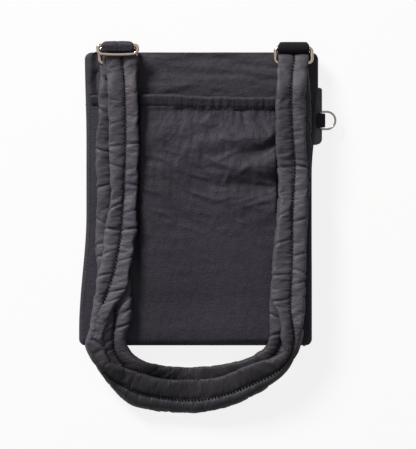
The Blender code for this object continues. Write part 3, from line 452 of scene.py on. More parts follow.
def metalMaterial(name, recipe):
    # Cast zinc alloy, plated and polished: bright and warm, with rubbed patches and hairline scratches
    material, tree, shader = newMaterial(name)
    place = addNode(tree, "ShaderNodeTexCoord").outputs["Object"]
    smudge = addNode(tree, "ShaderNodeTexNoise",
                     {"Vector": place, "Scale": 1 / recipe["smudge"], "Detail": 3.0})
    stretch = addNode(tree, "ShaderNodeMapping",
                      {"Vector": place, "Scale": [1 / size for size in recipe["scratch"]]})
    scratch = addNode(tree, "ShaderNodeTexNoise", {"Vector": stretch, "Scale": 1.0, "Detail": 2.0})
    rough = addNode(tree, "ShaderNodeMapRange",
                    {"Value": smudge, "From Min": 0.3, "From Max": 0.7,
                     "To Min": recipe["roughness"] - 0.05, "To Max": recipe["roughness"] + 0.09})
    tint = addNode(tree, "ShaderNodeMix",
                   {"Factor": smudge, 6: hexColour(recipe["bright"]), 7: hexColour(recipe["dull"])},
                   data_type="RGBA")
    bump = addNode(tree, "ShaderNodeBump", {"Height": scratch, "Strength": 0.12, "Distance": 0.0001})
    plug(shader, {"Roughness": rough, "Base Color": tint.outputs[2], "Normal": bump, "Metallic": 1.0})
    return material


def webbingMaterial(name, recipe):
    # Woven tape: a tight rib across its width, dull, with a twill that catches light on its edges
    material, tree, shader = newMaterial(name)
    place = addNode(tree, "ShaderNodeTexCoord").outputs["Object"]
    ribs = addNode(tree, "ShaderNodeTexWave",
                   {"Vector": place, "Scale": 0.314 / recipe["pitch"], "Distortion": 0.6, "Detail": 1.0,
                    "Detail Scale": 2.0}, bands_direction="X")
    speck = addNode(tree, "ShaderNodeTexNoise", {"Vector": place, "Scale": 1 / 0.0016, "Detail": 2.0})
    tint = addNode(tree, "ShaderNodeMix",
                   {"Factor": speck, 6: hexColour(recipe["dark"]), 7: hexColour(recipe["light"])},
                   data_type="RGBA")
    bump = addNode(tree, "ShaderNodeBump",
                   {"Height": ribs, "Strength": recipe["strength"], "Distance": 0.0003})
    plug(shader, {"Base Color": tint.outputs[2], "Normal": bump, "Roughness": recipe["roughness"],
                  "Specular IOR Level": 0.25, "Sheen Weight": 0.02})
    return material


def plasticMaterial(name, recipe):
    # Moulded nylon: even, slightly greasy, with fine pitting from the mould
    material, tree, shader = newMaterial(name)
    place = addNode(tree, "ShaderNodeTexCoord").outputs["Object"]
    pits = addNode(tree, "ShaderNodeTexNoise", {"Vector": place, "Scale": 1 / 0.0009, "Detail": 3.0})
    tint = addNode(tree, "ShaderNodeMix",
                   {"Factor": pits, 6: hexColour(recipe["dark"]), 7: hexColour(recipe["light"])},
                   data_type="RGBA")
    bump = addNode(tree, "ShaderNodeBump", {"Height": pits, "Strength": 0.15, "Distance": 0.0002})
    plug(shader, {"Base Color": tint.outputs[2], "Normal": bump, "Roughness": recipe["roughness"],
                  "Specular IOR Level": recipe["specular"]})
    return material


# Real nylon of this kind has about 0.2 mm between threads; the grain is drawn at 1 mm so that it shows
nylon = {"grain": (0.0010, 0.0034, 0.01), "crossGrain": (0.0030, 0.0012, 0.01), "crease": 0.0052,
         "stretch": (0.8, 1.25, 1.0), "cloudShare": 0.35, "roughness": 0.66, "weaveStrength": 0.55,
         "creaseStrength": 0.3, "specular": 0.25, "sheen": 0.06, "onUv": False}
shellNylon = clothMaterial("crinkledNylonShell", {
    **nylon, "cloud": 0.045, "dark": "27242b", "light": "343138", "worn": "3d3a42"})
pocketNylon = clothMaterial("crinkledNylonPocket", {
    **nylon, "grain": (0.0010, 0.0036, 0.01), "cloud": 0.05, "stretch": (1.3, 0.75, 1.0),
    "dark": "26232b", "light": "322f38", "worn": "3c3943"})
# The side tab is the shell's cloth painted much lighter: painted light on the tab, which the bag and strap
# shade.
sideTabLitNylon = clothMaterial("paintedLightNylonTab", {
    **nylon, "cloud": 0.012, "crease": 0.004, "dark": "716c77", "light": "837e89", "worn": "8d8894"})
# The strap's last four shares darken its seam crease, loops, layer beneath and upper runs: painted shade.
strapNylon = clothMaterial("paddedStrapNylon", {
    "grain": (0.0030, 0.0011, 0.01), "crossGrain": (0.0060, 0.0011, 0.01), "cloud": 0.018, "crease": 0.0042,
    "stretch": (0.45, 1.7, 1.0), "dark": "3e3a43", "light": "4d4952", "worn": "5d5960", "cloudShare": 0.4,
    "roughness": 0.56, "weaveStrength": 0.3, "creaseStrength": 0.34, "specular": 0.3, "sheen": 0.08,
    "onUv": True, "seams": (0.0128, 0.0384), "creaseShadeShare": 0.7, "loopShadeShare": 0.33, "topShadeShare": 0.76,
    "underShadeShare": 0.84})
liningCloth = clothMaterial("plainLiningTaffeta", {
    "grain": (0.0008, 0.0060, 0.01), "crossGrain": (0.0060, 0.0008, 0.01), "cloud": 0.03, "crease": 0.014,
    "stretch": (1.0, 1.0, 1.0), "dark": "232226", "light": "2c2b2f", "worn": "34333a", "cloudShare": 0.3,
    "roughness": 0.6, "weaveStrength": 0.3, "creaseStrength": 0.15, "specular": 0.35, "sheen": 0.15,
    "onUv": False})
blackWebbing = webbingMaterial("ribbedBlackWebbing", {
    "pitch": 0.0011, "dark": "070508", "light": "100d13", "strength": 0.25, "roughness": 0.85})
# The ring loop's webbing is a lighter copy of the tabs' black webbing: painted light on the loop, which lies
# in shade.
ringLoopLitWebbing = webbingMaterial("ribbedDarkGreyWebbing", {
    "pitch": 0.0011, "dark": "1c191e", "light": "2b272e", "strength": 0.25, "roughness": 0.8})
zipTapeCloth = webbingMaterial("herringboneZipTape", {
    "pitch": 0.0009, "dark": "1b1a1e", "light": "29272c", "strength": 0.4, "roughness": 0.75})
elasticRib = webbingMaterial("ribbedElastic", {
    "pitch": 0.0014, "dark": "1c1b1f", "light": "2b2a2e", "strength": 0.6, "roughness": 0.8})
ringMetal = metalMaterial("polishedPaleGoldPlate", {
    "smudge": 0.004, "scratch": (0.0006, 0.006, 0.006), "roughness": 0.11, "bright": "e6d2c4",
    "dull": "bfa89a"})
zipMetal = metalMaterial("nickelledZipMetal", {
    "smudge": 0.003, "scratch": (0.0008, 0.0008, 0.004), "roughness": 0.24, "bright": "bdb6ae",
    "dull": "8a837c"})
toothNylon = plasticMaterial("mouldedZipNylon", {
    "dark": "1e1d21", "light": "2a292d", "roughness": 0.38, "specular": 0.5})
darkThread = plasticMaterial("bondedDarkThread", {
    "dark": "050506", "light": "0b0a0d", "roughness": 0.9, "specular": 0.12})
print("materials made")


def dress(thing, material):
    thing.data.materials.clear()
    thing.data.materials.append(material)


def finish(thing, body, material, replaced=()):
    dress(thing, material)
    if replaced:
        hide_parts(*replaced)
    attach(thing, body)
    return thing


# Small things in rows, threads and zip teeth, are repeated along a line by Geometry Nodes
def rowTree(name, sizes):
    # named inputs, and points a pitch apart along the line
    tree = bpy.data.node_groups.new(name, "GeometryNodeTree")
    face = tree.interface
    face.new_socket("Line", in_out="INPUT", socket_type="NodeSocketGeometry")
    for label, value in sizes.items():
        face.new_socket(label, in_out="INPUT", socket_type="NodeSocketFloat").default_value = value
    face.new_socket("Material", in_out="INPUT", socket_type="NodeSocketMaterial")
    face.new_socket("Row", in_out="OUTPUT", socket_type="NodeSocketGeometry")
    given = addNode(tree, "NodeGroupInput")
    curve = addNode(tree, "GeometryNodeMeshToCurve", {"Mesh": given.outputs["Line"]})
    spaced = addNode(tree, "GeometryNodeResampleCurve",
                     {"Curve": curve, "Length": given.outputs["Pitch"]}, mode="LENGTH")
    return tree, given, spaced


def endTree(tree, given, placed):
    solid = addNode(tree, "GeometryNodeRealizeInstances", {"Geometry": placed})
    dressed = addNode(tree, "GeometryNodeSetMaterial",
                      {"Geometry": solid, "Material": given.outputs["Material"]})
    addNode(tree, "NodeGroupOutput", {"Row": dressed})
    return tree


def growRow(name, points, edges, tree, values, facing=None):
    # runs a tree on a line of points and keeps its result as the object's own mesh
    mesh = bpy.data.meshes.new(name)
    mesh.from_pydata(np.asarray(points).tolist(), edges, [])
    if facing is not None:
        attribute = mesh.attributes.new("facing", "FLOAT_VECTOR", "POINT")
        attribute.data.foreach_set("vector", facing.astype(np.float32).ravel())
    thing = addObject(name, mesh)
    row = thing.modifiers.new("row", "NODES")
    row.node_group = tree
    for item in tree.interface.items_tree:
        if item.in_out == "INPUT" and item.name in values:
            row[item.identifier] = values[item.name]
    return bake(thing)


def stitchTree():
    # each stitch is a ball drawn out along the line, with its height turned the way the cloth faces
    tree, given, spaced = rowTree("stitchRow", {"Pitch": 0.0027, "Length": 0.0018, "Width": 0.0005,
                                                "Height": 0.0004})
    ball = addNode(tree, "GeometryNodeMeshUVSphere", {"Segments": 8, "Rings": 5, "Radius": 0.5})
    size = addNode(tree, "ShaderNodeCombineXYZ",
                   {"X": given.outputs["Length"], "Y": given.outputs["Width"], "Z": given.outputs["Height"]})
    shaped = addNode(tree, "GeometryNodeTransform", {"Geometry": ball, "Scale": size})
    tangent = addNode(tree, "GeometryNodeInputTangent")
    facing = addNode(tree, "GeometryNodeInputNamedAttribute", {"Name": "facing"}, data_type="FLOAT_VECTOR")
    along = addNode(tree, "FunctionNodeAlignEulerToVector", {"Vector": tangent}, axis="X")
    turned = addNode(tree, "FunctionNodeAlignEulerToVector", {"Rotation": along, "Vector": facing},
                     axis="Z", pivot_axis="X")
    placed = addNode(tree, "GeometryNodeInstanceOnPoints",
                     {"Points": spaced, "Instance": shaped, "Rotation": turned})
    return endTree(tree, given, placed)


stitches = stitchTree()
fineStitch = {"Pitch": 0.0026, "Length": 0.0017, "Width": 0.0006, "Height": 0.0004}


def sewLine(name, lines, facings, sizes, body):
    # lines: one array of points for each line; facings: the way the stitches face, one vector per point
    edges, start = [], 0
    for line in lines:
        edges += [(start + k, start + k + 1) for k in range(len(line) - 1)]
        start += len(line)
    thing = growRow(name, np.concatenate(lines), edges, stitches, {**sizes, "Material": darkThread},
                    np.concatenate(facings))
    thing.data.shade_smooth()
    return finish(thing, body, darkThread)


# Padded strap. Each row is a section of it as the photograph shows it, in pixels: the edge nearer the
# bag's middle, the centre seam and the outer edge, then the padding's thickness in mm, how far the
# outer channel rolls under, and how crumpled it is.
strap = {"columns": 13, "step": 0.00105, "layerPitch": 0.0056, "sunkPitch": 0.0016, "channelCloth": 0.0126,
         "seamShare": 0.1, "grooveShare": 0.045, "fullness": 1.14, "puckerDepth": 0.0006,
         "finePucker": 0.00025, "scallopDepth": 0.0005, "rollDrop": 0.82, "rollRows": (300, 374),
         "barInset": 0.00155, "wrap": 0.0036, "overSlider": 0.0068, "foldCloth": 0.0021,
         "foldHalfWidth": 0.0122, "foldThickness": 0.003, "endTail": 0.0118, "halfGirth": 0.0128,
         "spareCloth": 0.03, "bending": 0.08, "cap": 0.0011}
laying = {"leastSpread": 0.02, "levelAtRing": 0.012, "rightTilt": 0.3, "tiltY": -0.01, "tiltEaseY": 0.03,
          "tiltEaseX": 0.02, "ahead": (-0.016, -0.008, 0, 0.008, 0.016), "smoothing": 15,
          "sunkY": -0.066, "sunkEaseY": 0.02, "sunkX": -0.055, "sunkEaseX": 0.01, "climb": 0.024,
          "ringY": 0.08, "ringEase": 0.006, "overFloor": 0.0004}
padding = {"smoothing": 4, "shoulder": 0.72, "leastReach": 0.008, "mostReach": 0.014, "outerRound": 2.4,
           "seamRound": 1.9, "seamRolled": 0.75, "edgeRipple": 0.00035, "puckerShare": 0.6}
waves = {"skew": 0.0018, "coarse": 0.0046, "ridge": 0.0066, "gathering": 0.017, "gather": 0.0024,
         "fine": 0.0014, "lean": 0.0012, "leanLength": 0.012, "creaseWidth": 0.0010, "bank": 0.0028,
         "bankWidth": 0.002, "slant": 0.012}
strapStitch = {"Pitch": 0.0027, "Length": 0.0021, "Width": 0.0013, "Height": 0.0010, "rise": 0.0012}
innerRows = [
    (130.5, 64, 114.9, 64, 99.3, 64, 3.6, 0, 0.4), (130.4, 80, 114.8, 80, 99.2, 80, 4.4, 0, 0.5),
    (130.3, 101, 114.7, 101, 99.0, 101, 4.8, 0, 0.6), (129.4, 119, 113.8, 119, 98.2, 119, 4.8, 0, 0.9),
    (127, 155, 111.4, 155, 95.9, 155, 4.8, 0, 1), (127.8, 180, 112.3, 180, 96.7, 180, 4.8, 0, 0.8),
    (128.4, 200, 112.9, 200, 97.2, 200, 4.8, 0, 0.8), (126.8, 240, 111, 240, 95.4, 240, 4.8, 0, 1),
    (128.5, 272, 113, 272, 97.8, 272, 4.8, 0, 1.1), (131.6, 292, 114.6, 292, 100.4, 292, 5.6, 0, 1.2),
    (132, 310, 115.2, 310, 102, 310, 6.6, 0, 1.3), (130.6, 323, 114.8, 323, 100, 323, 6.6, 0, 1.5),
    (126.8, 336, 113.4, 337, 97.6, 337, 6.4, 0, 1.5), (128.6, 347.6, 114, 350, 97, 351, 5.8, 0, 1.2),
    (134.2, 354.4, 118.4, 359, 101.6, 364, 5.2, 0, 1),
    (141.6, 359.5, 124.6, 366.4, 112.6, 374.6, 4.7, 0, 0.8),
    (152, 364, 135, 375.5, 126.6, 386, 4.7, 0, 0.6), (165.6, 367.4, 155, 380, 150, 391.5, 4.8, 0, 0.5),
    (186, 368.5, 184.5, 384, 183, 397, 4.8, 0, 0.5), (209, 367, 212, 382.2, 214.5, 396, 4.8, 0, 0.5),
    (228.7, 363.7, 234.6, 377.8, 240, 390.5, 4.8, 0, 0.5),
    (246, 358.6, 254.5, 371.2, 262, 381.5, 4.8, 0, 0.6),
    (257.4, 352.8, 267.6, 362.2, 276, 369.6, 4.7, 0, 0.8),
    (265.4, 346.5, 277.2, 351.5, 286.5, 355.5, 4.6, 0, 1),
    (269.6, 334, 282.6, 336.6, 293.6, 338.6, 4.6, 0, 1.2), (269.5, 320, 284, 321, 298.4, 321.6, 4.7, 0, 1),
    (270, 300, 285.4, 300, 300.6, 300, 4.8, 0, 0.8), (271.4, 275, 286.8, 275, 302.2, 275, 4.8, 0, 0.8),
    (274.4, 242, 290, 242, 305.4, 242, 4.8, 0, 0.8), (278, 200, 293.5, 200, 309, 200, 4.8, 0, 0.7),
    (280, 150, 295.5, 150, 311, 150, 4.8, 0, 0.7), (280.4, 110, 295.9, 110, 311.2, 110, 4.8, 0, 0.6),
    (279.6, 82, 294.8, 82, 310, 82, 4.5, 0, 0.5), (277.8, 66, 293, 66, 308.2, 66, 3.4, 0, 0.3)]
outerRows = [
    (277, 68, 292, 68, 307.3, 68, 3.8, 0, 0.25), (276.2, 84, 291, 84, 306, 84, 4.6, 0, 0.4),
    (275.5, 100, 290.5, 100, 305, 100, 4.8, 0, 0.5), (275.5, 130, 291.4, 130, 305, 130, 4.8, 0, 0.6),
    (276, 150, 293, 150, 306, 150, 4.8, 0, 0.7), (277.6, 166, 294, 166, 307, 166, 4.8, 0, 0.9),
    (278.6, 190, 293, 190, 307, 190, 4.8, 0, 0.8), (277.4, 220, 291.5, 220, 306.8, 220, 4.8, 0, 0.9),
    (274.4, 250, 291.5, 250, 305.4, 250, 4.8, 0, 1), (272, 280, 290.4, 280, 305, 280, 4.8, 0, 1.3),
    (271.2, 300, 289.5, 300, 305, 300, 4.8, 0, 1.2), (275.6, 309, 290, 312, 304.2, 312, 5, 0, 0.9),
    (280, 324, 292.6, 327, 302.4, 326, 5.2, 0, 0.8), (280.2, 338, 293.8, 339, 299.6, 339, 5.4, 1, 0.9),
    (283, 350, 290.6, 354, 293.6, 352.6, 5.6, 1, 1.1), (275, 355.8, 281.8, 366.6, 283.4, 369, 5.6, 1, 1),
    (262, 360.5, 269, 376, 270.6, 382.4, 5.4, 1, 0.7), (246, 366.2, 251.7, 384.3, 253.4, 394.4, 5.2, 1, 0.6),
    (233, 372.4, 235, 391.6, 236.6, 403, 5, 1, 0.6), (220, 376.9, 220.4, 396.2, 221, 408, 5, 1, 0.6),
    (203, 379.6, 201, 400, 199.6, 411.8, 5, 1, 0.6), (184, 380.2, 180.4, 400.2, 178, 412, 5, 1, 0.6),
    (165, 379.6, 158.4, 397.6, 155, 410.6, 5, 1, 0.7), (145, 374.8, 139, 393, 132.6, 404.4, 5, 1, 0.7),
    (129, 370.5, 122.4, 385.6, 116.4, 391, 5.2, 1, 0.8), (117, 365, 109.8, 377, 107, 376.4, 5.4, 1, 0.8),
    (109.6, 359.4, 100, 364.4, 98.4, 363, 5.6, 1, 0.9), (105.4, 349.4, 92.6, 353, 91.4, 352, 5.6, 1, 1),
    (104, 340.5, 90, 344, 88.6, 343.6, 5.6, 1, 1.2), (105.6, 331, 93.4, 334, 91.8, 334, 5.6, 1, 1.1),
    (108.4, 321.4, 96.2, 321, 93.6, 321.6, 5.6, 1, 0.9), (113.4, 310.6, 98.8, 310, 94.6, 312, 5.4, 1, 0.9),
    (120.4, 299.4, 104.6, 300, 95.4, 301, 5.2, 0.5, 1), (126.6, 288.6, 108.4, 288.4, 96.6, 288.4, 5, 0, 1.1),
    (128.4, 277, 112.6, 277, 97.6, 277, 4.9, 0, 1.2), (132, 260, 116.6, 260, 102, 260, 4.8, 0, 1.2),
    (134.7, 241, 119.9, 241, 104.4, 241, 4.8, 0, 1.2), (137, 228, 121, 228, 105.6, 228, 4.8, 0, 1.1),
    (136.6, 200, 123.3, 200, 110.4, 200, 4.8, 0, 1.1), (137.8, 175, 124.4, 175, 110.4, 175, 4.8, 0, 0.9),
    (138.8, 150, 125.2, 150, 110, 150, 4.8, 0, 0.9), (138.4, 128, 125.4, 128, 109.6, 128, 4.8, 0, 0.7),
    (137.8, 100, 124.8, 100, 109, 100, 4.8, 0, 0.6), (137.2, 80, 123.8, 80, 107.8, 80, 4.4, 0, 0.5),
    (137.6, 68, 122.6, 68, 106.8, 68, 3.6, 0, 0.4), (138.8, 60, 122, 60, 106.4, 60, 3.2, 0, 0.3),
    (137.6, 55, 121.8, 55, 106.2, 55, 3, 0, 0.2)]

# Deep creases across the strap: run, the pixel row they cross the seam at, depth in mm, slant, side
creases = [
    ("outerLeft", 144.6, 0.9, 0.1, 1), ("outerLeft", 146, 0.5, -0.1, -1), ("outerLeft", 184.5, 0.9, -0.1, 1),
    ("outerLeft", 203, 1.1, -0.5, -1), ("outerLeft", 230, 1.5, 0.15, 0), ("outerLeft", 214, 0.5, 0.3, 1),
    ("outerLeft", 250, 0.8, -0.4, -1), ("outerLeft", 262, 0.7, 0.4, 1), ("outerLeft", 273, 0.8, -0.3, -1),
    ("outerLeft", 168, 0.4, 0.3, -1), ("outerLeft", 122, 0.35, -0.3, -1), ("outerLeft", 96, 0.3, 0.2, 1),
    ("outerRight", 166, 1.5, 0.12, -1), ("outerRight", 167.5, 0.7, 0.05, 1), ("outerRight", 209, 0.6, 0.5, 1),
    ("outerRight", 222, 0.5, -0.4, -1), ("outerRight", 240, 0.6, 0.3, 1), ("outerRight", 269, 1.0, 0.3, -1),
    ("outerRight", 274, 0.9, 0.1, 1), ("outerRight", 285, 0.7, -0.3, -1), ("outerRight", 299, 1.1, 0.2, 1),
    ("outerRight", 257, 0.4, -0.3, -1), ("innerLeft", 115, 0.9, -0.5, 0), ("innerLeft", 153, 1.2, -0.3, 0),
    ("innerLeft", 184, 0.5, 0.3, 0), ("innerLeft", 226, 0.6, -0.5, 0), ("innerLeft", 241, 1.0, 0.3, 0),
    ("innerLeft", 255, 1.1, 0.2, 0), ("innerLeft", 300, 0.8, -0.4, 1), ("innerLeft", 307, 0.7, -0.7, 1),
    ("innerLeft", 315, 0.9, -0.5, 1), ("innerLeft", 320, 0.5, -0.9, 1), ("innerLeft", 328, 1.6, -0.4, 1),
    ("innerLeft", 320, 0.8, 0.6, -1), ("innerLeft", 329, 0.9, 0.6, -1), ("innerLeft", 338, 0.9, 0.6, -1),
    ("innerLeft", 348, 0.8, 0.5, -1), ("outerLeft", 338, 1.7, -0.9, 1), ("outerLeft", 293, 0.8, 0.4, 1),
    ("outerLeft", 304, 0.6, 0.5, 1), ("innerRight", 318, 0.8, 0.3, 1), ("innerRight", 332, 1.2, -0.4, 1)]


def ringBar(ring):
    # the lower bar of a ring, which the strap is folded round: its middle
    low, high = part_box(ring)
    return (low.x + high.x) / 2, low.y + strap["barInset"], (low.z + high.z) / 2


def windowed(values, reach):
    # smooths a row of numbers, or of points, over as many neighbours on each side as reach says
    window = np.hanning(2 * reach + 1)
    window = window / window.sum()
    padded = np.concatenate([np.repeat(values[:1], reach, 0), values, np.repeat(values[-1:], reach, 0)])
    if values.ndim == 1:
        return np.convolve(padded, window, mode="valid")
    return np.stack([np.convolve(column, window, mode="valid") for column in padded.T], 1)


def layerSections(rows, layer):
    # one layer of the strap, laid on the bag: its two edges and its seam in space, with what varies
    barY, barZ = ringBar("left_ring")[1:]
    flat = np.array(rows, float)
    for k in (0, 2, 4):
        flat[:, k], flat[:, k + 1] = fromPhoto(flat[:, k], flat[:, k + 1])
    flat[:, 6] /= 1000
    fine = smoothPath(flat, strap["step"])
    inside, seam, outside = fine[:, 0:2], fine[:, 2:4], fine[:, 4:6]
    thickness, roll, crumple = fine[:, 6:].T
    seamX, seamY = seam.T
    along = unit(np.gradient(seam, axis=0))
    spread = np.linalg.norm(inside - outside, axis=1)
    side = unit(inside - outside)
    # it tilts with what lies beneath, less on the upper runs and not at all beside the rings
    slope = (lieHeight(*inside.T) - lieHeight(*outside.T)) / np.maximum(spread, laying["leastSpread"])
    slope *= smoothStep((barY - laying["levelAtRing"] - seamY) / laying["levelAtRing"])
    upperShare = np.where(seamX < 0, 0.0, laying["rightTilt"])
    below = smoothStep((laying["tiltY"] - seamY) / laying["tiltEaseY"])
    slope *= mix(upperShare, 1.0, below * smoothStep(-seamX / laying["tiltEaseX"]))
    level = np.zeros(len(fine))
    for share in np.linspace(-0.5, 0.5, 9):
        for ahead in laying["ahead"]:
            spot = seam + side * (share * spread)[:, None] + along * ahead
            level = np.maximum(level, lieHeight(*spot.T) - slope * share * spread)
    sunk = smoothStep((laying["sunkY"] - seamY) / laying["sunkEaseY"])
    sunk = sunk * smoothStep((laying["sunkX"] - seamX) / laying["sunkEaseX"])
    z = windowed(level, laying["smoothing"]) + bag["gap"] + thickness / 2
    z += layer * (strap["layerPitch"] - strap["sunkPitch"] * sunk)
    # near the rings it rises or sinks to the height at which it passes round the bar
    overBar = np.where(seamX < 0, strap["overSlider"], strap["wrap"]) if layer else -strap["wrap"]
    nearBar = 1 - smoothStep((barY - seamY) / laying["climb"])
    nearBar = nearBar * smoothStep((seamY - laying["ringY"]) / laying["ringEase"])
    z = mix(z, np.maximum(barZ + overBar, 0.0), nearBar)
    reachIn = np.linalg.norm(inside - seam, axis=1)
    reachOut = np.linalg.norm(outside - seam, axis=1)
    hidden = np.sqrt(np.maximum(0.0, strap["channelCloth"]**2 - reachOut**2))
    least = thickness / 2 + laying["overFloor"]
    outerZ = np.maximum(z - slope * reachOut - roll * hidden * strap["rollDrop"], least)
    label = "outer" if layer else "inner"
    return {"inside": np.column_stack([inside, z + slope * reachIn]), "seam": np.column_stack([seam, z]),
            "outside": np.column_stack([outside, outerZ]), "thickness": thickness, "crumple": crumple,
            "run": np.where(seamX < 0, label + "Left", label + "Right")}


def foldSections(ring, upwards, tail=0.0):
    # half a turn round a ring's bar, and before it, where tail is given, the strap's end above the bar
    barX, barY, barZ = ringBar(ring)
    wrap = strap["wrap"]
    angles = np.radians(np.linspace(-90, 90, 22) if upwards else np.linspace(90, -90, 22))
    places = [(barY - share * tail, barZ + wrap) for share in np.linspace(1, 0.08, 8)] if tail else []
    places += [(barY + (wrap + strap["foldCloth"]) * math.cos(a), barZ + wrap * math.sin(a)) for a in angles]
    seam = np.array([(barX, y, z) for y, z in places])
    edge = np.array([-strap["foldHalfWidth"] if upwards else strap["foldHalfWidth"], 0, 0])
    crumple = np.where(np.arange(len(places)) < len(places) - len(angles), 0.2, 0.1)
    return {"inside": seam + edge, "seam": seam, "outside": seam - edge, "crumple": crumple,
            "thickness": np.full(len(places), strap["foldThickness"]),
            "run": np.full(len(places), "fold", dtype="<U10")}


def channelShares():
    # places across one channel, from the seam to the edge, closer together at both
    return 0.5 - 0.5 * np.cos(np.linspace(0, math.pi, strap["columns"] + 1))


def rolledShare(runs, y):
    # where the outer channel is rolled under and the seam shows as its rim
    top, bottom = (fromPhoto(0, row)[1] for row in strap["rollRows"])
    return (runs == "outerLeft") * smoothStep((top - y) / 0.006) * smoothStep((y - bottom) / 0.006)


def creaseDepths(runs, y, length):
    # for each channel, where along the strap its deep creases lie, how deep they are and how they slant
    found = {1: [], -1: []}
    for run, row, depth, slant, side in creases:
        members = np.flatnonzero(runs == run)
        at = members[int(np.argmin(np.abs(y[members] - fromPhoto(0, row)[1])))]
        for channel in ((-1, 1) if side == 0 else (side,)):
            found[channel].append((length[at], depth / 1000, slant))
    return found


def creaseSink(length, t, deep):
    # the sum of the deep creases: each a narrow valley with a low bank on both sides
    sink = np.zeros(len(length))
    for place, depth, slant in deep:
        d = length - place - slant * t * waves["slant"]
        banks = [0.3 * np.exp(-((d + way * waves["bank"]) / waves["bankWidth"])**2) for way in (-1, 1)]
        sink += 1.6 * depth * (np.exp(-(d / waves["creaseWidth"])**2) - banks[0] - banks[1])
    return sink


def puckers(length, t, channel, crumple, rolled):
    # cloth gathered by the seam: coarse and fine waves, and a scallop at each stitch
    skew = waves["skew"] * channel * t
    wave = 0.6 * softNoise((length + skew) / waves["coarse"], t * 1.3 + channel * 7, 11)
    wave += 0.5 * crinkle((length - 2 * skew) / waves["ridge"], t * 1.1 + channel * 5, 12)
    gathered = smoothStep(0.5 + 0.9 * softNoise(length / waves["gathering"], channel * 3 + 0.3 * t, 17))
    wave += 0.75 * gathered * softNoise((length + 1.5 * skew) / waves["gather"], t * 1.2 + channel * 9, 15)
    fine = softNoise((length - skew) / waves["fine"], t * 1.4 + channel * 3, 13)
    seamPull = (1 - t)**2
    relief = crumple * (strap["puckerDepth"] * wave * (0.45 + 0.55 * seamPull)
                        + strap["finePucker"] * fine * (0.3 + seamPull))
    lean = waves["lean"] * softNoise(length / waves["leanLength"], channel * 5 + 0.5, 16) * t * 4
    scallop = 0.5 + 0.5 * np.cos(2 * math.pi * (length + lean) / strapStitch["Pitch"])
    uneven = (0.4 + 0.6 * gathered) * (1 - rolled)
    return relief - strap["scallopDepth"] * scallop * uneven * (1 - t)**4 * (t > 0.02)


def strapSurface(sections):
    # Two padded channels, one on each side of the seam. Each section runs round the strap: over the inner
    # channel, the seam and the outer channel, and back beneath them.
    runs, crumple, y = sections["run"], sections["crumple"], sections["seam"][:, 1]
    inner, seam, outer = (windowed(sections[key], padding["smoothing"])
                          for key in ("inside", "seam", "outside"))
    length = np.concatenate([[0], np.cumsum(np.linalg.norm(np.diff(seam, axis=0), axis=1))])
    along = unit(np.gradient(seam, axis=0))
    rolled = rolledShare(runs, y)
    isFold = runs == "fold"
    deep = creaseDepths(runs, y, length)
    tops, bottoms = {}, {}
    for channel, edge in ((1, inner), (-1, outer)):
        outward = edge - seam
        reach = np.linalg.norm(outward, axis=1)
        flat = outward * (1, 1, 0)
        control = seam + np.where(isFold[:, None], outward, flat) * padding["shoulder"]
        steep = np.abs(outward[:, 2]) > 0.3 * reach
        control[:, 2] = np.where(steep, seam[:, 2], (seam + outward * 0.5)[:, 2])
        fullness = np.where(isFold, 1.0, strap["fullness"])
        kept = np.clip(reach, padding["leastReach"], padding["mostReach"])
        narrow = (strap["channelCloth"] / kept)**0.25
        ups, downs = [], []
        for t in channelShares():
            centre = (1 - t)**2 * seam + 2 * t * (1 - t) * control + t**2 * edge
            tangent = unit(2 * (1 - t) * (control - seam) + 2 * t * (edge - control))
            up = unit(np.cross(along, tangent)) * channel
            if t > 0.5:
                swell = math.sqrt(max(0.0, 1 - abs(2 * t - 1)**padding["outerRound"]))
            else:
                groove = max(0.0, t - strap["grooveShare"]) / (1 - strap["grooveShare"])
                rise = math.sqrt(max(0.0, 1 - abs(2 * groove - 1)**padding["seamRound"]))
                swell = mix(strap["seamShare"] + padding["seamRolled"] * rolled, 1.0, rise)
            half = sections["thickness"] / 2 * fullness * swell * narrow
            sink = creaseSink(length, t, deep[channel])
            relief = puckers(length, t, channel, crumple, rolled)
            relief -= sink * (0.35 + 0.65 * math.sin(math.pi * min(1, t * 0.9 + 0.1)))
            rim = 1.0 if 0.0 < t < 0.999 else 0.25
            ripple = padding["edgeRipple"] * crumple * softNoise(length / 0.006, channel * 9, 14)
            ripple = (ripple - 0.5 * sink) * t**3
            centre = centre + tangent * ripple[:, None]
            offset = up * (half + padding["puckerShare"] * relief * rim)[:, None]
            ups.append(centre + offset)
            downs.append(centre - offset)
        tops[channel], bottoms[channel] = ups, downs
    ring = tops[1][:0:-1] + [(tops[1][0] + tops[-1][0]) / 2] + tops[-1][1:]
    ring += bottoms[-1][-2:0:-1] + [(bottoms[1][0] + bottoms[-1][0]) / 2] + bottoms[1][1:-1]
    return np.stack(ring, 1), length


def settleStrap(thing, shape, runs):
    # The seam holds the cover short, and the cover's spare length puckers beside it. The strap turns over
    # at the right ring, so the outer layer shows the other face; the face beneath is held.
    steps = strap["columns"]
    holds = np.zeros(shape[:2])
    outer = np.char.startswith(runs, "outer")
    holds[~outer, 2 * steps + 3:4 * steps - 3] = 0.35
    holds[outer, 3:2 * steps - 3] = 0.35
    holds[:, [steps, 3 * steps]] = 1
    holds[runs == "fold"] = 1
    holds[:4], holds[-4:] = 1, 1
    holds = holds.ravel()
    settleCloth(thing, holds, np.zeros(holds.size), strap["spareCloth"], strap["bending"], strap["cap"])


def strapUv(length):
    # across the cloth in metres, once round both channels, and along the strap in metres
    half = strap["halfGirth"]
    reach = channelShares() * half
    girth = np.concatenate([half - reach[::-1], half + reach[1:],
                            3 * half - reach[::-1][1:], 3 * half + reach[1:]])
    return np.stack(np.broadcast_arrays(girth[None, :], length[:, None]), -1)


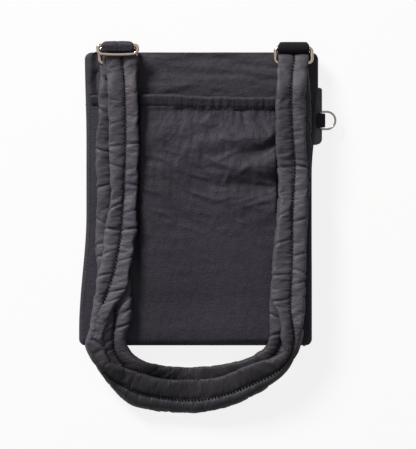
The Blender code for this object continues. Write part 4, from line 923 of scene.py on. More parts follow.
def sewStrap(surface, runs):
    # thread down the strap's middle, on both faces, except where the seam is rolled out of sight
    steps = strap["columns"]
    seamTop, seamBottom = surface[:, steps], surface[:, 3 * steps]
    faceUp = unit(seamTop - seamBottom)
    lines, facings = [], []
    rolled = rolledShare(runs, seamTop[:, 1]) > 0.3
    for stretch in np.split(np.arange(len(runs)), np.flatnonzero(np.diff(rolled.astype(int))) + 1):
        if not rolled[stretch[0]] and len(stretch) > 8:
            for face, up in ((seamTop, faceUp), (seamBottom, -faceUp)):
                lines.append(face[stretch] + up[stretch] * strapStitch["rise"])
                facings.append(up[stretch])
    sewLine("strap_seam_stitches", lines, facings, strapStitch, "strap")


def makeStrap():
    parts = [foldSections("left_ring", False, strap["endTail"]), layerSections(innerRows, 0),
             foldSections("right_ring", True), layerSections(outerRows, 1)]
    sections = {key: np.concatenate([part[key] for part in parts]) for key in parts[0]}
    surface, length = strapSurface(sections)
    thing = gridMesh("padded_strap", surface, closed=True, caps=True, uv=strapUv(length))
    settleStrap(thing, surface.shape, sections["run"])
    closeMesh(thing)
    finish(thing, "strap", strapNylon,
           ("strap_inner_left", "strap_inner_loop", "strap_inner_right", "strap_outer_right",
            "strap_outer_loop", "strap_outer_left", "strap_sewn_end", "strap_ring_fold"))
    print("strap laid,", round(float(length[-1]), 3), "m long,", len(surface), "sections")
    sewStrap(surface, sections["run"])


makeStrap()


# Flat end of the strap, turned over the slider's top bar
sliderBand = {"width": 0.0262, "thickness": 0.0016, "seamDip": 0.0003, "barHalf": 0.0015, "gap": 0.0003,
              "root": 0.0037, "lowerEnd": 0.0016, "overBar": 1.05, "endDrop": 0.0012, "endLength": 0.0044,
              "uvAcross": 0.056, "uvAlong": 0.02}


def makeSliderBand():
    box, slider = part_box("strap_slider_end"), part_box("strap_slider")
    thickness = sliderBand["thickness"]
    middleX, z = (box[0].x + box[1].x) / 2, (slider[0].z + slider[1].z) / 2
    barY = slider[1].y - sliderBand["barHalf"]
    radius = sliderBand["barHalf"] + sliderBand["gap"] + thickness / 2
    path = [(topY - sliderBand["root"], z - radius), (topY - sliderBand["lowerEnd"], z - radius)]
    path += [(barY + radius * sliderBand["overBar"] * math.cos(a), z + radius * math.sin(a))
             for a in np.radians(np.linspace(-90, 96, 24))]
    path += [(barY - d, z + radius - sliderBand["endDrop"] * d / sliderBand["endLength"])
             for d in np.linspace(0.0008, 0.0046, 6)]
    path = np.array(path)
    along = unit(np.gradient(path, axis=0))

    def place(k, u):
        y, z = path[k]
        normal = np.array([0, along[k][1], -along[k][0]])
        half = thickness / 2 * max(math.sqrt(max(0.0, 1 - abs(u)**14)), 0.2)
        dip = sliderBand["seamDip"] * math.exp(-(u / 0.05)**2)
        puff = 0.00012 * softNoise(u * 9, k * 0.8, 21)
        drawn = 0.0024 * abs(u)**7 * smoothStep((y - barY + 0.001) / 0.004)
        uneven = 1 - 0.01 * math.sin(k * 0.9)
        point = np.array([middleX + u * sliderBand["width"] / 2 * uneven, y - drawn, z])
        return point + normal * (half + puff - dip), point - normal * (half - 0.00005)

    shares = np.linspace(-1, 1, 33)
    flatUv = np.stack(np.broadcast_arrays(
        np.linspace(0, sliderBand["uvAcross"], 2 * len(shares) + 1)[None, :],
        np.linspace(0, sliderBand["uvAlong"], len(path))[:, None]), -1)
    band, rows = tapeMesh("slider_band", path, shares, place, flatUv)
    finish(band, "strap", shellNylon, ("strap_slider_end",))
    seam, beneath = rows[4:, 16], rows[4:, -17]
    sewLine("slider_band_stitches", [seam], [unit(seam - beneath)], {**fineStitch, "Pitch": 0.0024},
            "strap")


makeSliderBand()


# Rings and slider: round wire bent to a rounded rectangle and welded
def wireLoop(name, node, wire, corner, body, farCorner=None, bow=0.0):
    # farCorner is the radius at the mouth's side; bow bends the bar at the foot's side outwards
    farCorner = farCorner or corner
    low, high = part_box(node)
    left, right = low.x + wire / 2, high.x - wire / 2
    near, far = low.y + wire / 2, high.y - wire / 2
    bends = arc(right - farCorner, far - farCorner, farCorner, 0, 90, 11)
    bends += arc(left + farCorner, far - farCorner, farCorner, 90, 180, 11)
    bends += arc(left + corner, near + corner, corner, 180, 270, 11)
    bends += arc(right - corner, near + corner, corner, 270, 360, 11)
    bends = np.array(bends)
    loop = []
    for a, b in zip(bends, np.roll(bends, -1, 0)):
        count = max(1, int(np.linalg.norm(b - a) / 0.0012))
        loop += [mix(a, b, s / count) for s in range(count)]
    x, y = np.array(loop).T
    bend = np.cos(math.pi * (x - (left + right) / 2) / (right - left))
    drop = bow * bend * smoothStep((far - y) / (far - near))
    thing = wireMesh(name, loop, (low.z + high.z) / 2, wire, 20, drop)
    return finish(thing, body, ringMetal, (node,))


wireLoop("left_strap_ring", "left_ring", 0.0031, 0.0032, "strap")
wireLoop("right_strap_ring", "right_ring", 0.0031, 0.0032, "strap")
wireLoop("adjuster_frame", "strap_slider", 0.003, 0.0034, "slider", 0.0016, 0.0008)
print("rings and slider made")


# Bag shell: one loft from the foot to the open mouth, slack at its sides
shell = {"rows": 154, "cornerRows": 8, "across": 145, "sideColumns": 11, "wall": 0.0008, "footCurve": 3.2,
         "seamSink": 0.0016, "partedRows": 8}
panelFolds = [
    (158, 93, 206, 80, 6, 3, 0.9), (140, 66, 178, 60, 5, 3, 0.5), (200, 88, 262, 84, 4, 2, 0.45),
    (205, 70, 270, 73, 5, 2.5, 0.5), (86, 82, 98, 66, 3, 2, 0.5), (170, 76, 225, 66, 5, 3, 0.4)]


panelCrease = {"level": 0.0006, "ridge": 0.00045, "fine": 0.00012, "swell": 0.0011}
hollow = {"rise": 0.0014, "sink": -0.0032, "from": 0.001, "width": 0.0095, "end": 0.014, "fade": 0.016}


def besideStrap(x, y):
    # the cloth stands up along the bag's left edge and sinks towards the strap that weighs on it
    inset = x - leftEdge(y)
    height = mix(hollow["rise"], hollow["sink"], smoothStep((inset - hollow["from"]) / hollow["width"]))
    return height * (1 - smoothStep((inset - hollow["end"]) / hollow["fade"]))


def panelRelief(x, y):
    # soft folds in the plain cloth above the pocket, lying nearly level across it
    relief = panelCrease["level"] * softNoise(x / 0.03 + y / 0.05, y / 0.0056, 31)
    relief += panelCrease["ridge"] * crinkle(x / 0.018 + 3, y / 0.0036 + x / 0.03, 32)
    relief += panelCrease["fine"] * crinkle(x / 0.004, y / 0.0019, 30)
    relief += panelCrease["swell"] * softNoise(x / 0.045, y / 0.022, 33)
    relief += besideStrap(x, y)
    for fold in panelFolds:
        relief += foldRidge(x, y, *fold)
    return relief


def alongLines(x, y, lines):
    # cloth heights from lines read off the photograph. Each line lists (x, y, height in mm) along it, the
    # lines run one below another, and the height passes smoothly from each line to the next.
    scale = photo["metresPerPixel"]
    px, py = x / scale + photo["originX"], photo["originY"] - y / scale
    places, heights = [], []
    for line in lines:
        lx, ly, lh = np.array(line, float).T
        places.append(np.interp(px, lx, ly))
        heights.append(np.interp(px, lx, lh))
    total = np.zeros_like(px)
    for k in range(len(lines) - 1):
        t = (py - places[k]) / np.maximum(places[k + 1] - places[k], 0.5)
        inside = (t >= 0) & (t < 1)
        total = np.where(inside, mix(heights[k], heights[k + 1], smoothStep(t)), total)
    return total / 1000


def foldRidge(x, y, ax, ay, bx, by, gentle, steep, height):
    # a fold from a to b, in pixels, that rises gently on its upper side and falls steeply below; sizes in mm
    (x0, y0), (x1, y1) = fromPhoto(ax, ay), fromPhoto(bx, by)
    span = math.hypot(x1 - x0, y1 - y0)
    ux, uy = (x1 - x0) / span, (y1 - y0) / span
    along = ((x - x0) * ux + (y - y0) * uy) / span
    off = (x - x0) * -uy + (y - y0) * ux
    off = off + 0.0006 * softNoise(x / 0.006, y / 0.006, 40)
    width = np.where(off > 0, gentle, steep) / 1000
    reach = np.exp(-np.maximum(0, np.maximum(-along, along - 1) * span / 0.006)**2)
    taper = 0.55 + 0.45 * np.sin(math.pi * np.clip(along, 0, 1))
    return height / 1000 * np.exp(-(off / width)**2) * reach * taper


def cutSides(thing, bands, columns):
    # leaves the side walls out beside the mouth's corners, where the two panels part
    across, wall = shell["across"], shell["sideColumns"] + 1
    work = bmesh.new()
    work.from_mesh(thing.data)
    work.faces.ensure_lookup_table()
    doomed = []
    for band in range(bands - shell["partedRows"], bands):
        for column in [*range(across - 1, across - 1 + wall), *range(2 * across + wall - 2, columns)]:
            doomed.append(work.faces[band * columns + column])
    bmesh.ops.delete(work, geom=doomed, context="FACES")
    work.to_mesh(thing.data)
    work.free()


def sideColumn(y, edgeX, inward, closing):
    # the gusset's section at one side, from the back panel to the front one, tucked in between them
    t = np.linspace(0, 1, shell["sideColumns"] + 2)[1:-1]
    if inward > 0:
        t = t[::-1]
    middleZ = bag["sideHeight"] / 2
    height = bag["sideHeight"] * (1 - t) - 0.0004
    tuck = 0.0012 * np.sin(math.pi * t)**0.7 + 0.0002
    tuck += 0.00035 * softNoise(y / 0.009, t * 2 + inward, 34) + 0.0002 * softNoise(y / 0.003, t * 3, 35)
    return rowAcross(edgeX + inward * tuck, y, mix(middleZ, height, closing))


def makeShell():
    radius, bend = bag["corner"], np.linspace(0, math.pi / 2, shell["cornerRows"] + 1)
    heights = np.concatenate([
        footY + radius * (1 - np.cos(bend[:-1])),
        np.linspace(footY + radius, topY - radius, shell["rows"] - 2 * shell["cornerRows"]),
        topY - radius * (1 - np.cos(bend[::-1][1:]))])
    u = np.linspace(0, 1, shell["across"])
    u = mix(u, 0.5 - 0.5 * np.cos(math.pi * u), 0.35)
    middleZ = bag["sideHeight"] / 2
    rows = []
    for y in heights:
        drawn = cornerInset(min(y - footY, topY - y), radius)
        left, right = leftEdge(y) + drawn, rightEdge(y) - drawn
        x = mix(left, right, u)
        edge = np.minimum(x - left, right - x)
        z = backHeight(x, y) + panelRelief(x, np.full_like(x, y)) * smoothStep(edge / 0.008)
        z -= shell["seamSink"] * np.exp(-edge / 0.0014)
        under = 0.00012 * (1 + softNoise(x / 0.03, y / 0.02, 36))
        fromFoot = min(1.0, (y - footY) / radius)
        closing = (1 - (1 - fromFoot)**shell["footCurve"])**(1 / shell["footCurve"])
        back = rowAcross(x, y, mix(middleZ, z, closing))
        front = rowAcross(x, y, mix(middleZ, under, closing))[::-1]
        rightSide, leftSide = sideColumn(y, right, -1, closing), sideColumn(y, left, 1, closing)
        rows.append(np.concatenate([back, rightSide, front, leftSide]))
    rows = np.array(rows)
    thing = gridMesh("bag_shell", rows, closed=True)
    cutSides(thing, len(rows) - 1, rows.shape[1])
    closeMesh(thing, 2e-5)
    thicken(thing, shell["wall"])
    finish(thing, "bag", shellNylon,
           ("front_panel", "back_panel", "left_gusset", "right_gusset", "bottom_gusset"))


makeShell()
print("shell lofted")


# Lining: a loose bag of taffeta that hangs inside the shell from below the zip
lining = {"rows": 90, "across": 70, "clearance": 0.0024, "corner": 0.004, "wall": 0.0003, "middleZ": 0.006,
          "belowBack": 0.0018, "overFront": 0.0015, "backSink": 0.0026, "frontRise": 0.0016}


def makeLining():
    low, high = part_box("lining_front")
    middleZ = lining["middleZ"]
    rows = []
    for y in np.linspace(low.y + 0.0004, high.y, lining["rows"]):
        drawn = lining["clearance"] + max(0.0, lining["corner"] - (y - low.y))
        left, right = leftEdge(y) + drawn, rightEdge(y) - drawn
        x = np.linspace(left, right, lining["across"])
        swell = smoothStep(np.minimum(x - left, right - x) / 0.01)
        closing = max(0.02, smoothStep((y - low.y) / 0.006))
        wave = 0.0003 * softNoise(x / 0.012, y / 0.014, 37) * swell
        top = backHeight(x, y) - lining["belowBack"] - lining["backSink"] * (1 - swell) + wave
        bottom = lining["overFront"] + lining["frontRise"] * (1 - swell)
        bottom = bottom + 0.0001 * (1 + softNoise(x / 0.01, y / 0.02, 38))
        upper = rowAcross(x, y, mix(middleZ, top, closing))
        lower = rowAcross(x, y, mix(middleZ, bottom, closing))[::-1]
        rows.append(np.concatenate([upper, lower]))
    thing = gridMesh("lining_bag", np.array(rows), closed=True)
    closeMesh(thing)
    thicken(thing, lining["wall"])
    finish(thing, "bag", liningCloth, ("lining_front", "lining_back"))


makeLining()


# Patch pocket: flat cloth sewn down three sides, drawn up by the elastic at its mouth
pocketSheet = {"rows": 210, "cornerRows": 12, "columns": 196, "overEdge": 0.0002, "sewnDown": 0.0026,
               "overShell": 0.0012, "reach": 0.0014, "wall": 0.00045}
# heights of the pocket's creases; where there are two, the second is added on its busiest part
pocketCrease = {"gather": 0.0008, "gatherReach": 0.0055, "slack": 0.0008, "fine": 0.00016, "fineReach": 0.05,
                "busyDrop": 0.06, "busyReach": 0.055, "level": (0.0001, 0.00032), "slant": (0.00006, 0.0004),
                "upright": (0.0001, 0.00014), "strapX": 0.0605, "strapEase": 0.004}
cornerLines = [
    # ridges and hollows of the pocket's drawn-up right side, from the hem down: a pixel's column and row
    # in the photograph and the height in mm
    [(150, 112, 0), (215, 112, 0), (300, 112, 0)],
    [(150, 136, 0), (215, 138, 0.1), (234, 139.8, 0.9), (250, 140.4, 1.9), (264, 139.6, 2.6),
     (272, 133.4, 2.6), (279, 131, 1.6), (286, 130, 0), (300, 130, 0)],
    [(150, 146, 0), (215, 149, -0.1), (236, 152, -0.7), (249, 156, -1.6), (260, 152.4, -2.1),
     (277, 144.6, -2.2), (286, 143, -1.1), (300, 142, 0)],
    [(150, 164, 0), (200, 164.5, 0.3), (222, 166, 0.5), (244, 169, 0.9), (259, 166.2, 1.9),
     (264, 164.4, 2.2), (278, 160.6, 2.2), (286, 160, 0), (300, 160, 0)],
    [(150, 186, 0), (215, 184, -0.3), (234, 184, -1.1), (250, 186, -2.2), (268, 189, -3.0), (279, 184, -3.2),
     (288, 182, -1.5), (300, 182, 0)],
    [(150, 206, 0), (218, 204, 0.1), (240, 205.4, 0.5), (260, 208, 0.8), (279, 207.6, 0.8), (288, 207, 0),
     (300, 207, 0)],
    [(150, 232, 0), (215, 232, 0), (300, 232, 0)]]
pocketFolds = [
    # fold lines in the photograph: from, to, gentle width, steep width and height in mm
    (231, 166, 226, 181, 3, 1.6, 0.7), (218, 160.5, 238, 151, 3, 1.6, 0.7),
    (195, 163.5, 213, 166.4, 5, 2, 0.5), (234, 139.4, 256, 138.6, 2.4, 1.4, 0.45),
    (243, 171, 254, 160, 3, 2, 0.8), (252, 156, 268, 150, 2.4, 1.4, 0.5),
    (262, 158, 277, 148, 2.6, 1.5, 0.7), (235, 176, 243, 169, 3, 1.6, 0.4),
    (243, 110, 244, 122, 1.6, 1.6, -1.0), (197, 111, 213, 118, 3.4, 2.2, -0.9),
    (216, 112, 207, 119, 2.6, 2.0, 0.35), (249, 113, 252, 120, 2, 1.4, 0.5),
    (232, 124, 252, 132, 5, 3, 0.4), (180, 152, 226, 142, 10, 5, 0.5), (218, 200, 240, 196, 3, 1.5, 0.45),
    (234, 203, 252, 199, 2.6, 1.4, 0.4), (256, 196, 275, 190, 3, 1.6, 0.5),
    (258, 208.6, 279, 208, 3, 1.5, 0.4), (150, 166, 190, 170, 9, 4, 0.4),
    (222, 191, 262, 188.5, 2.6, 1.5, 0.35), (246, 206, 279, 198, 3.6, 2.2, 0.8),
    (160, 214, 240, 200, 12, 6, 0.4), (86, 117, 99, 108, 3.5, 1.8, 1.1), (85, 122, 97, 117, 3, 1.6, 0.6),
    (86, 161, 97, 157, 3, 1.8, 0.6), (86, 202, 96, 200, 3, 1.8, 0.5), (85, 264, 97, 269, 4, 2, 0.5),
    (150, 246, 250, 242, 12, 6, 0.35), (305, 150, 311, 142, 2, 1.4, 0.7),
    (300, 178, 311, 150, 3, 1.6, 0.7), (190, 232, 262, 226, 9, 5, 0.35), (200, 258, 262, 250, 9, 5, 0.3)]


def pocketRelief(x, y):
    below = np.maximum(0.0, hemBottomY - y)
    gathers = softNoise(x / 0.0052 + 0.4 * softNoise(x / 0.02, y / 0.02, 41), below / 0.03, 42)
    gathers += 0.8 * crinkle(x / 0.0034, below / 0.022, 43) - 0.3
    amount = 0.35 + 0.65 * smoothStep((x + 0.045) / 0.04)
    relief = pocketBody(x, y) * smoothStep(below / 0.004)
    relief += pocketCrease["gather"] * gathers * np.exp(-below / pocketCrease["gatherReach"]) * amount
    relief += pocketCrease["slack"] * softNoise(x / 0.045, y / 0.03, 44) * smoothStep(below / 0.02)
    nearHem = np.exp(-(below / pocketCrease["fineReach"])**2)
    relief += pocketCrease["fine"] * crinkle(x / 0.0026, y / 0.0062, 48) * nearHem
    busy = np.exp(-((below - pocketCrease["busyDrop"]) / pocketCrease["busyReach"])**2)
    level, slant, upright = (pocketCrease[key][0] + pocketCrease[key][1] * busy
                             for key in ("level", "slant", "upright"))
    relief += level * softNoise(x / 0.026 + y / 0.03, y / 0.0052, 45)
    relief += slant * crinkle(x / 0.012 + y / 0.02, y / 0.0072 + x / 0.03, 46)
    relief += upright * softNoise(x / 0.0042, y / 0.009, 47)
    for fold in pocketFolds:
        relief += foldRidge(x, y, *fold)
    relief += besideStrap(x, y)
    underStrap = smoothStep((x - pocketCrease["strapX"]) / pocketCrease["strapEase"])
    relief += alongLines(x, y, cornerLines)
    return np.where(relief > 0, relief * (1 - underStrap), relief)


def makePocket():
    radius = bag["corner"]
    bend = np.linspace(0, math.pi / 2, pocketSheet["cornerRows"])[:-1]
    v = np.linspace(0, 1, pocketSheet["rows"])
    v = mix(v, 1 - (1 - v)**1.6, 0.5)
    heights = np.concatenate([footY + 0.0004 + (radius - 0.0004) * (1 - np.cos(bend)),
                              mix(footY + radius, hemBottomY + 0.0004, v)])
    u = np.linspace(0, 1, pocketSheet["columns"])
    u = mix(u, 0.5 - 0.5 * np.cos(math.pi * u), 0.3)
    rows = []
    for y in heights:
        drawn = cornerInset(y - footY, radius)
        left = leftEdge(y) + drawn - pocketSheet["overEdge"]
        right = rightEdge(y) - drawn + pocketSheet["overEdge"]
        x = mix(left, right, u)
        edge = np.minimum(np.minimum(x - left, right - x), y - footY)
        relief = pocketRelief(x, np.full_like(x, y)) * smoothStep(edge / 0.006)
        z = pocketUnder(x, y) + pocket["cloth"] + relief - pressed(x, y)
        z -= pocketSheet["sewnDown"] * np.exp(-edge / 0.0011)
        least = (backHeight(x, y) + pocketSheet["overShell"]) * (edge > 0.003)
        rows.append(rowAcross(x, y, np.maximum(z, least)))
    rows = np.array(rows)
    thing = gridMesh("gathered_pocket", rows)
    x, y = rows[..., 0], rows[..., 1]
    edge = np.minimum(np.minimum(x - leftEdge(y), rightEdge(y) - x), np.minimum(y - footY, hemBottomY - y))
    underStrap = np.maximum(smoothStep((-0.048 - x) / 0.004), smoothStep((x - 0.062) / 0.004))
    holds = np.maximum(1 - smoothStep(edge / 0.004), 0.7 * underStrap).ravel()
    taut = np.maximum(smoothStep((0.02 - y) / 0.045), 0.85 * smoothStep((0.008 - x) / 0.02)).ravel()
    settleCloth(thing, holds, taut, pocket["spareCloth"], pocket["bending"], pocketSheet["reach"])
    thicken(thing, pocketSheet["wall"])
    finish(thing, "bag", pocketNylon, ("patch_pocket",))


makePocket()


# The pocket's turned hem, ruched on its elastic, with its line of stitches
hem = {"sections": 330, "upperPoints": 15, "underPoints": 7, "raised": 0.0003, "thickness": 0.0008,
       "standing": 0.0037, "seamShare": 0.15, "seamDip": 0.0005, "ruffle": 0.00045, "sewnDown": 0.0016,
       "topRows": [(84, 94.4), (138, 94.8), (160, 94), (180, 94.6), (200, 96.6), (220, 96.4), (245, 96.9),
                   (275, 97), (312, 96.5)],
       "seamRows": [(84, 104.5), (138, 105.2), (160, 106.2), (185, 107.2), (215, 108), (245, 108.2),
                    (275, 108.2), (312, 107.5)]}
hemLeft, hemRight = leftEdge(hemBottomY) - 0.0001, rightEdge(hemBottomY) + 0.0001


def hemCurve(rows, x):
    px, py = np.array(rows, float).T
    xs, ys = fromPhoto(px, py)
    return np.interp(x, xs, ys)


def hemHold(x):
    # 1 along the hem, and 0 where its ends are sewn down
    return smoothStep(min(x - hemLeft, hemRight - x) / 0.006)


def hemBase(x, top, slump=0.0):
    lower = hem["sewnDown"] * (1 - hemHold(x))
    return pocketUnder(x, min(top, pocketTopY)) + slump - lower - pressed(x, top)


def upward(line):
    return np.tile((0.0, 0.0, 1.0), (len(line), 1))


def makeHem():
    rows, seam = [], []
    share = hem["seamShare"]
    for x in np.linspace(hemLeft, hemRight, hem["sections"]):
        hold = hemHold(x)
        top = hemCurve(hem["topRows"], x) + 0.00035 * softNoise(x / 0.004, 0, 51) * hold
        low = hemCurve(hem["seamRows"], x) - 0.0012 + 0.0003 * softNoise(x / 0.0035, 3, 55) * hold
        ruffle = softNoise(x / 0.0031, 0, 52) + 0.6 * crinkle(x / 0.0021, 0, 53)
        base = hemBase(x, top, 0.0004 * softNoise(x / 0.03, 1, 54))
        section = []
        for t in np.linspace(0, 1, hem["upperPoints"]):
            body = math.sqrt(max(0.0, 1 - abs(2 * t - 1)**5))
            z = base + hem["raised"] + hem["thickness"] * body + hem["standing"] * t * body
            z -= hem["seamDip"] * math.exp(-((t - share) / 0.06)**2)
            z += hem["ruffle"] * ruffle * (1 - 0.5 * t) * body * hold
            section.append((x, mix(low, top, t), z))
        for t in np.linspace(1, 0, hem["underPoints"])[1:-1]:
            section.append((x, mix(low, top, t), base + 0.0001))
        rows.append(section)
        onTop = base + hem["raised"] + hem["thickness"] + hem["standing"] * share
        seam.append((x, mix(low, top, share), onTop - 0.0004))
    thing = gridMesh("ruched_hem", np.array(rows), closed=True, caps=True)
    closeMesh(thing)
    finish(thing, "bag", pocketNylon, ("pocket_hem",))
    sewLine("hem_stitches", [np.array(seam)], [upward(seam)], fineStitch, "bag")


elastic = {"sections": 240, "inset": 0.0008, "raised": 0.0010, "waveHeight": 0.0002, "halfWave": 0.0014,
           "drops": (0.0078, 0.0044, 0.0012), "bulge": 0.0001, "thickness": 0.0004}


def makeElastic():
    # it lies in the hem's fold, waved by its own pull
    lower, middle, upper = elastic["drops"]
    rows = []
    for x in np.linspace(hemLeft + elastic["inset"], hemRight - elastic["inset"], elastic["sections"]):
        top = hemCurve(hem["topRows"], x)
        wave = elastic["waveHeight"] * math.sin(x / elastic["halfWave"] * math.pi)
        z = hemBase(x, top) + elastic["raised"] + wave
        rows.append([(x, top - lower, z), (x, top - middle, z + elastic["bulge"]), (x, top - upper, z)])
    thing = gridMesh("hem_elastic", np.array(rows))
    thicken(thing, elastic["thickness"], 0.0)
    finish(thing, "bag", elasticRib, ("pocket_elastic",))


makeHem()
makeElastic()
print("pocket gathered and hemmed")


# Seam round the bag: a line of stitches just inside its edge, which holds the pocket's sides too
sideSeam = {"inset": 0.0030, "fromFoot": 0.012, "fromMouth": 0.01, "points": 160, "pastHem": 0.001,
            "sunk": 0.0001}


def edgeSeam(edge, inset):
    y = np.linspace(footY + sideSeam["fromFoot"], topY - sideSeam["fromMouth"], sideSeam["points"])
    x = edge(y) + inset
    z = np.where(y < hemBottomY, pocketUnder(x, y) + pocket["cloth"], backHeight(x, y))
    onHem = (y > hemBottomY - sideSeam["pastHem"]) & (y < pocketTopY + sideSeam["pastHem"])
    z = np.where(onHem, pocketUnder(x, y) + pocket["hemThickness"], z)
    return np.stack([x, y, z - sideSeam["sunk"]], 1)


# Webbing tabs that hold the rings, sewn inside the mouth
tab = {"width": 0.0252, "thickness": 0.0012, "slack": 0.0020, "narrowing": 0.12, "barHalf": 0.00155,
       "root": 0.0068, "gap": 0.0003}


def makeTab(name, node, ring):
    low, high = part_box(node)
    ringLow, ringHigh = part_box(ring)
    middleX, thickness = (low.x + high.x) / 2, tab["thickness"]
    barY, z = ringHigh.y - tab["barHalf"], (ringLow.z + ringHigh.z) / 2
    radius = tab["barHalf"] + tab["slack"] + thickness / 2
    outerZ = backHeight(middleX, topY) - bag["cloth"] - tab["gap"] - thickness / 2
    innerZ = outerZ - thickness - tab["gap"]
    path = [(topY - tab["root"], outerZ), (topY - thickness, outerZ),
            (topY + thickness * 0.7, outerZ + thickness * 0.6),
            (mix(topY + 0.0009, barY - radius, 0.5), mix(outerZ + thickness, z, 0.6))]
    path += arc(barY, z, radius, 180, 0, 13)
    path += [(barY + radius - thickness / 2, mix(innerZ, z, 0.55)),
             (mix(topY + 0.0009, barY + radius, 0.55), mix(innerZ, z, 0.25)),
             (topY + 0.0013, innerZ + thickness / 2), (topY - thickness, innerZ),
             (topY - tab["root"], innerZ)]
    path = smoothPath(np.array(path), 0.0006)
    along = unit(np.gradient(path, axis=0))

    def place(k, u):
        y, height = path[k]
        normal = np.array([0, -along[k][1], along[k][0]])
        edge = max(0.25, math.sqrt(max(0.0, 1 - abs(u)**10)))
        narrow = 1 - tab["narrowing"] * smoothStep((y - barY - 0.0012) / 0.003)
        point = np.array([middleX + u * narrow * tab["width"] / 2, y, height])
        return point + normal * thickness / 2 * edge, point - normal * thickness / 2 * edge

    thing = tapeMesh(name, path, np.linspace(-1, 1, 25), place)[0]
    dress(thing, blackWebbing)
    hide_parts(node)
    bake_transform(thing)


makeTab("left_webbing_tab", "left_strap_tab", "left_ring")
makeTab("right_webbing_tab", "right_strap_tab", "right_ring")


# Side tab in the bag's seam, with its webbing loop and the small bowed ring
sideTab = {"rows": 60, "columns": 14, "root": 0.0006, "footCorner": 0.005, "topCorner": 0.0017,
           "roundedFrom": 0.8, "seamInset": 0.0014}
ringLoop = {"thickness": 0.001, "gap": 0.0003, "slack": 0.0016}
smallRing = {"wire": 0.0016, "corner": 0.0016, "sides": 16}


def makeSideTab():
    # returns the line of its stitches
    low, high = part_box("side_tab")
    half, shares = (high.z - low.z) / 2, np.linspace(0, 1, sideTab["columns"])
    past = np.maximum(0.0, (shares - sideTab["roundedFrom"]) / (1 - sideTab["roundedFrom"]))
    thick = half * np.sqrt(np.maximum(0.04, 1 - past**3))
    rows = []
    for y in np.linspace(low.y, high.y, sideTab["rows"]):
        root = rightEdge(y) - sideTab["root"]
        drawn = cornerInset(y - low.y, sideTab["footCorner"]) + cornerInset(high.y - y, sideTab["topCorner"])
        reach = high.x - drawn
        x = mix(root, max(reach, root + 0.0002), shares)
        puff = 0.00012 * softNoise(x / 0.004, y / 0.003, 61)
        upper = rowAcross(x, y, low.z + half + thick + puff)
        lower = rowAcross(x, y, low.z + half - thick)[::-1]
        rows.append(np.concatenate([upper, lower]))
    thing = gridMesh("side_loop_patch", np.array(rows), closed=True, caps=True)
    closeMesh(thing)
    # the tab's lighter cloth is painted light against the shade on it
    finish(thing, "bag", sideTabLitNylon, ("side_tab",))
    y = np.linspace(low.y + 0.004, high.y - 0.002, 50)
    x = np.full_like(y, high.x - sideTab["seamInset"])
    return np.stack([x, y, np.full_like(y, high.z + 0.00003)], 1)


sideTabLine = makeSideTab()


def makeRingLoop():
    # folded flat round the small ring's bar
    low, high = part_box("side_ring_loop")
    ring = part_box("side_ring")
    barX, z = ring[0].x + smallRing["wire"] / 2, (ring[0].z + ring[1].z) / 2
    half = smallRing["wire"] / 2 + ringLoop["gap"] + ringLoop["thickness"] / 2
    turn = np.radians(np.linspace(-90, 90, 13))
    path = [(low.x, z - half), (mix(low.x, barX, 0.5), z - half)]
    path += list(zip(barX + (half + ringLoop["slack"]) * np.cos(turn), z + half * np.sin(turn)))
    path += [(mix(low.x, barX, 0.5), z + half), (low.x, z + half)]
    path = smoothPath(np.array(path), 0.0004)
    along = unit(np.gradient(path, axis=0))

    def place(k, u):
        x, height = path[k]
        normal = np.array([along[k][1], 0, -along[k][0]])
        out = normal * ringLoop["thickness"] / 2 * max(0.3, math.sqrt(max(0.0, 1 - abs(u)**8)))
        point = np.array([x, mix(low.y, high.y, (u + 1) / 2), height])
        return point + out, point - out

    thing = tapeMesh("ring_webbing_loop", path, np.linspace(-1, 1, 15), place)[0]
    # the lighter webbing is painted light on the shaded loop
    finish(thing, "bag", ringLoopLitWebbing, ("side_ring_loop",))


def makeSmallRing():
    # straight along its bar, half a circle at its bow
    low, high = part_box("side_ring")
    wire, corner = smallRing["wire"], smallRing["corner"]
    middleY, radius = (low.y + high.y) / 2, (high.y - low.y - wire) / 2
    barX, bowX = low.x + wire / 2, high.x - wire / 2 - radius
    loop = [(barX, middleY + s * radius) for s in np.linspace(-0.7, 0.7, 9)]
    loop += arc(barX + corner, middleY + radius - corner, corner, 180, 90, 8)
    loop += arc(bowX, middleY, radius, 90, -90, 40)
    loop += arc(barX + corner, middleY - radius + corner, corner, 270, 180, 8)
    thing = wireMesh("small_bow_ring", loop, (low.z + high.z) / 2, wire, smallRing["sides"])
    finish(thing, "side_ring", zipMetal, ("side_ring",))


makeRingLoop()
makeSmallRing()
inset = sideSeam["inset"]
edgeLines = [edgeSeam(leftEdge, inset), edgeSeam(rightEdge, -inset), sideTabLine]
sewLine("edge_stitches", edgeLines, [upward(line) for line in edgeLines],
        {**fineStitch, "Width": 0.0004, "Height": 0.0003}, "bag")
print("tabs and small ring made")


# Zip, sunk in the mouth: tapes, teeth, end tabs
tape = {"sections": 150, "rows": 7, "wave": 0.00012, "thickness": 0.00045, "belowPanel": 0.0014}


def makeTape(name, node, seed):
    low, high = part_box(node)
    middleY = (low.y + high.y) / 2
    rows = []
    for x in np.linspace(low.x, high.x, tape["sections"]):
        wave = tape["wave"] * softNoise(x / 0.02, 0, seed)
        top = high.z if node.endswith("front") else backHeight(x, middleY) - tape["belowPanel"]
        rows.append([(x, middleY + wave * s, mix(low.z, top, s)) for s in np.linspace(0, 1, tape["rows"])])
    thing = gridMesh(name, np.array(rows))
    thicken(thing, tape["thickness"], 0.0)
    finish(thing, "bag", zipTapeCloth, (node,))


makeTape("zip_tape_lower", "zip_tape_front", 71)
makeTape("zip_tape_upper", "zip_tape_back", 72)


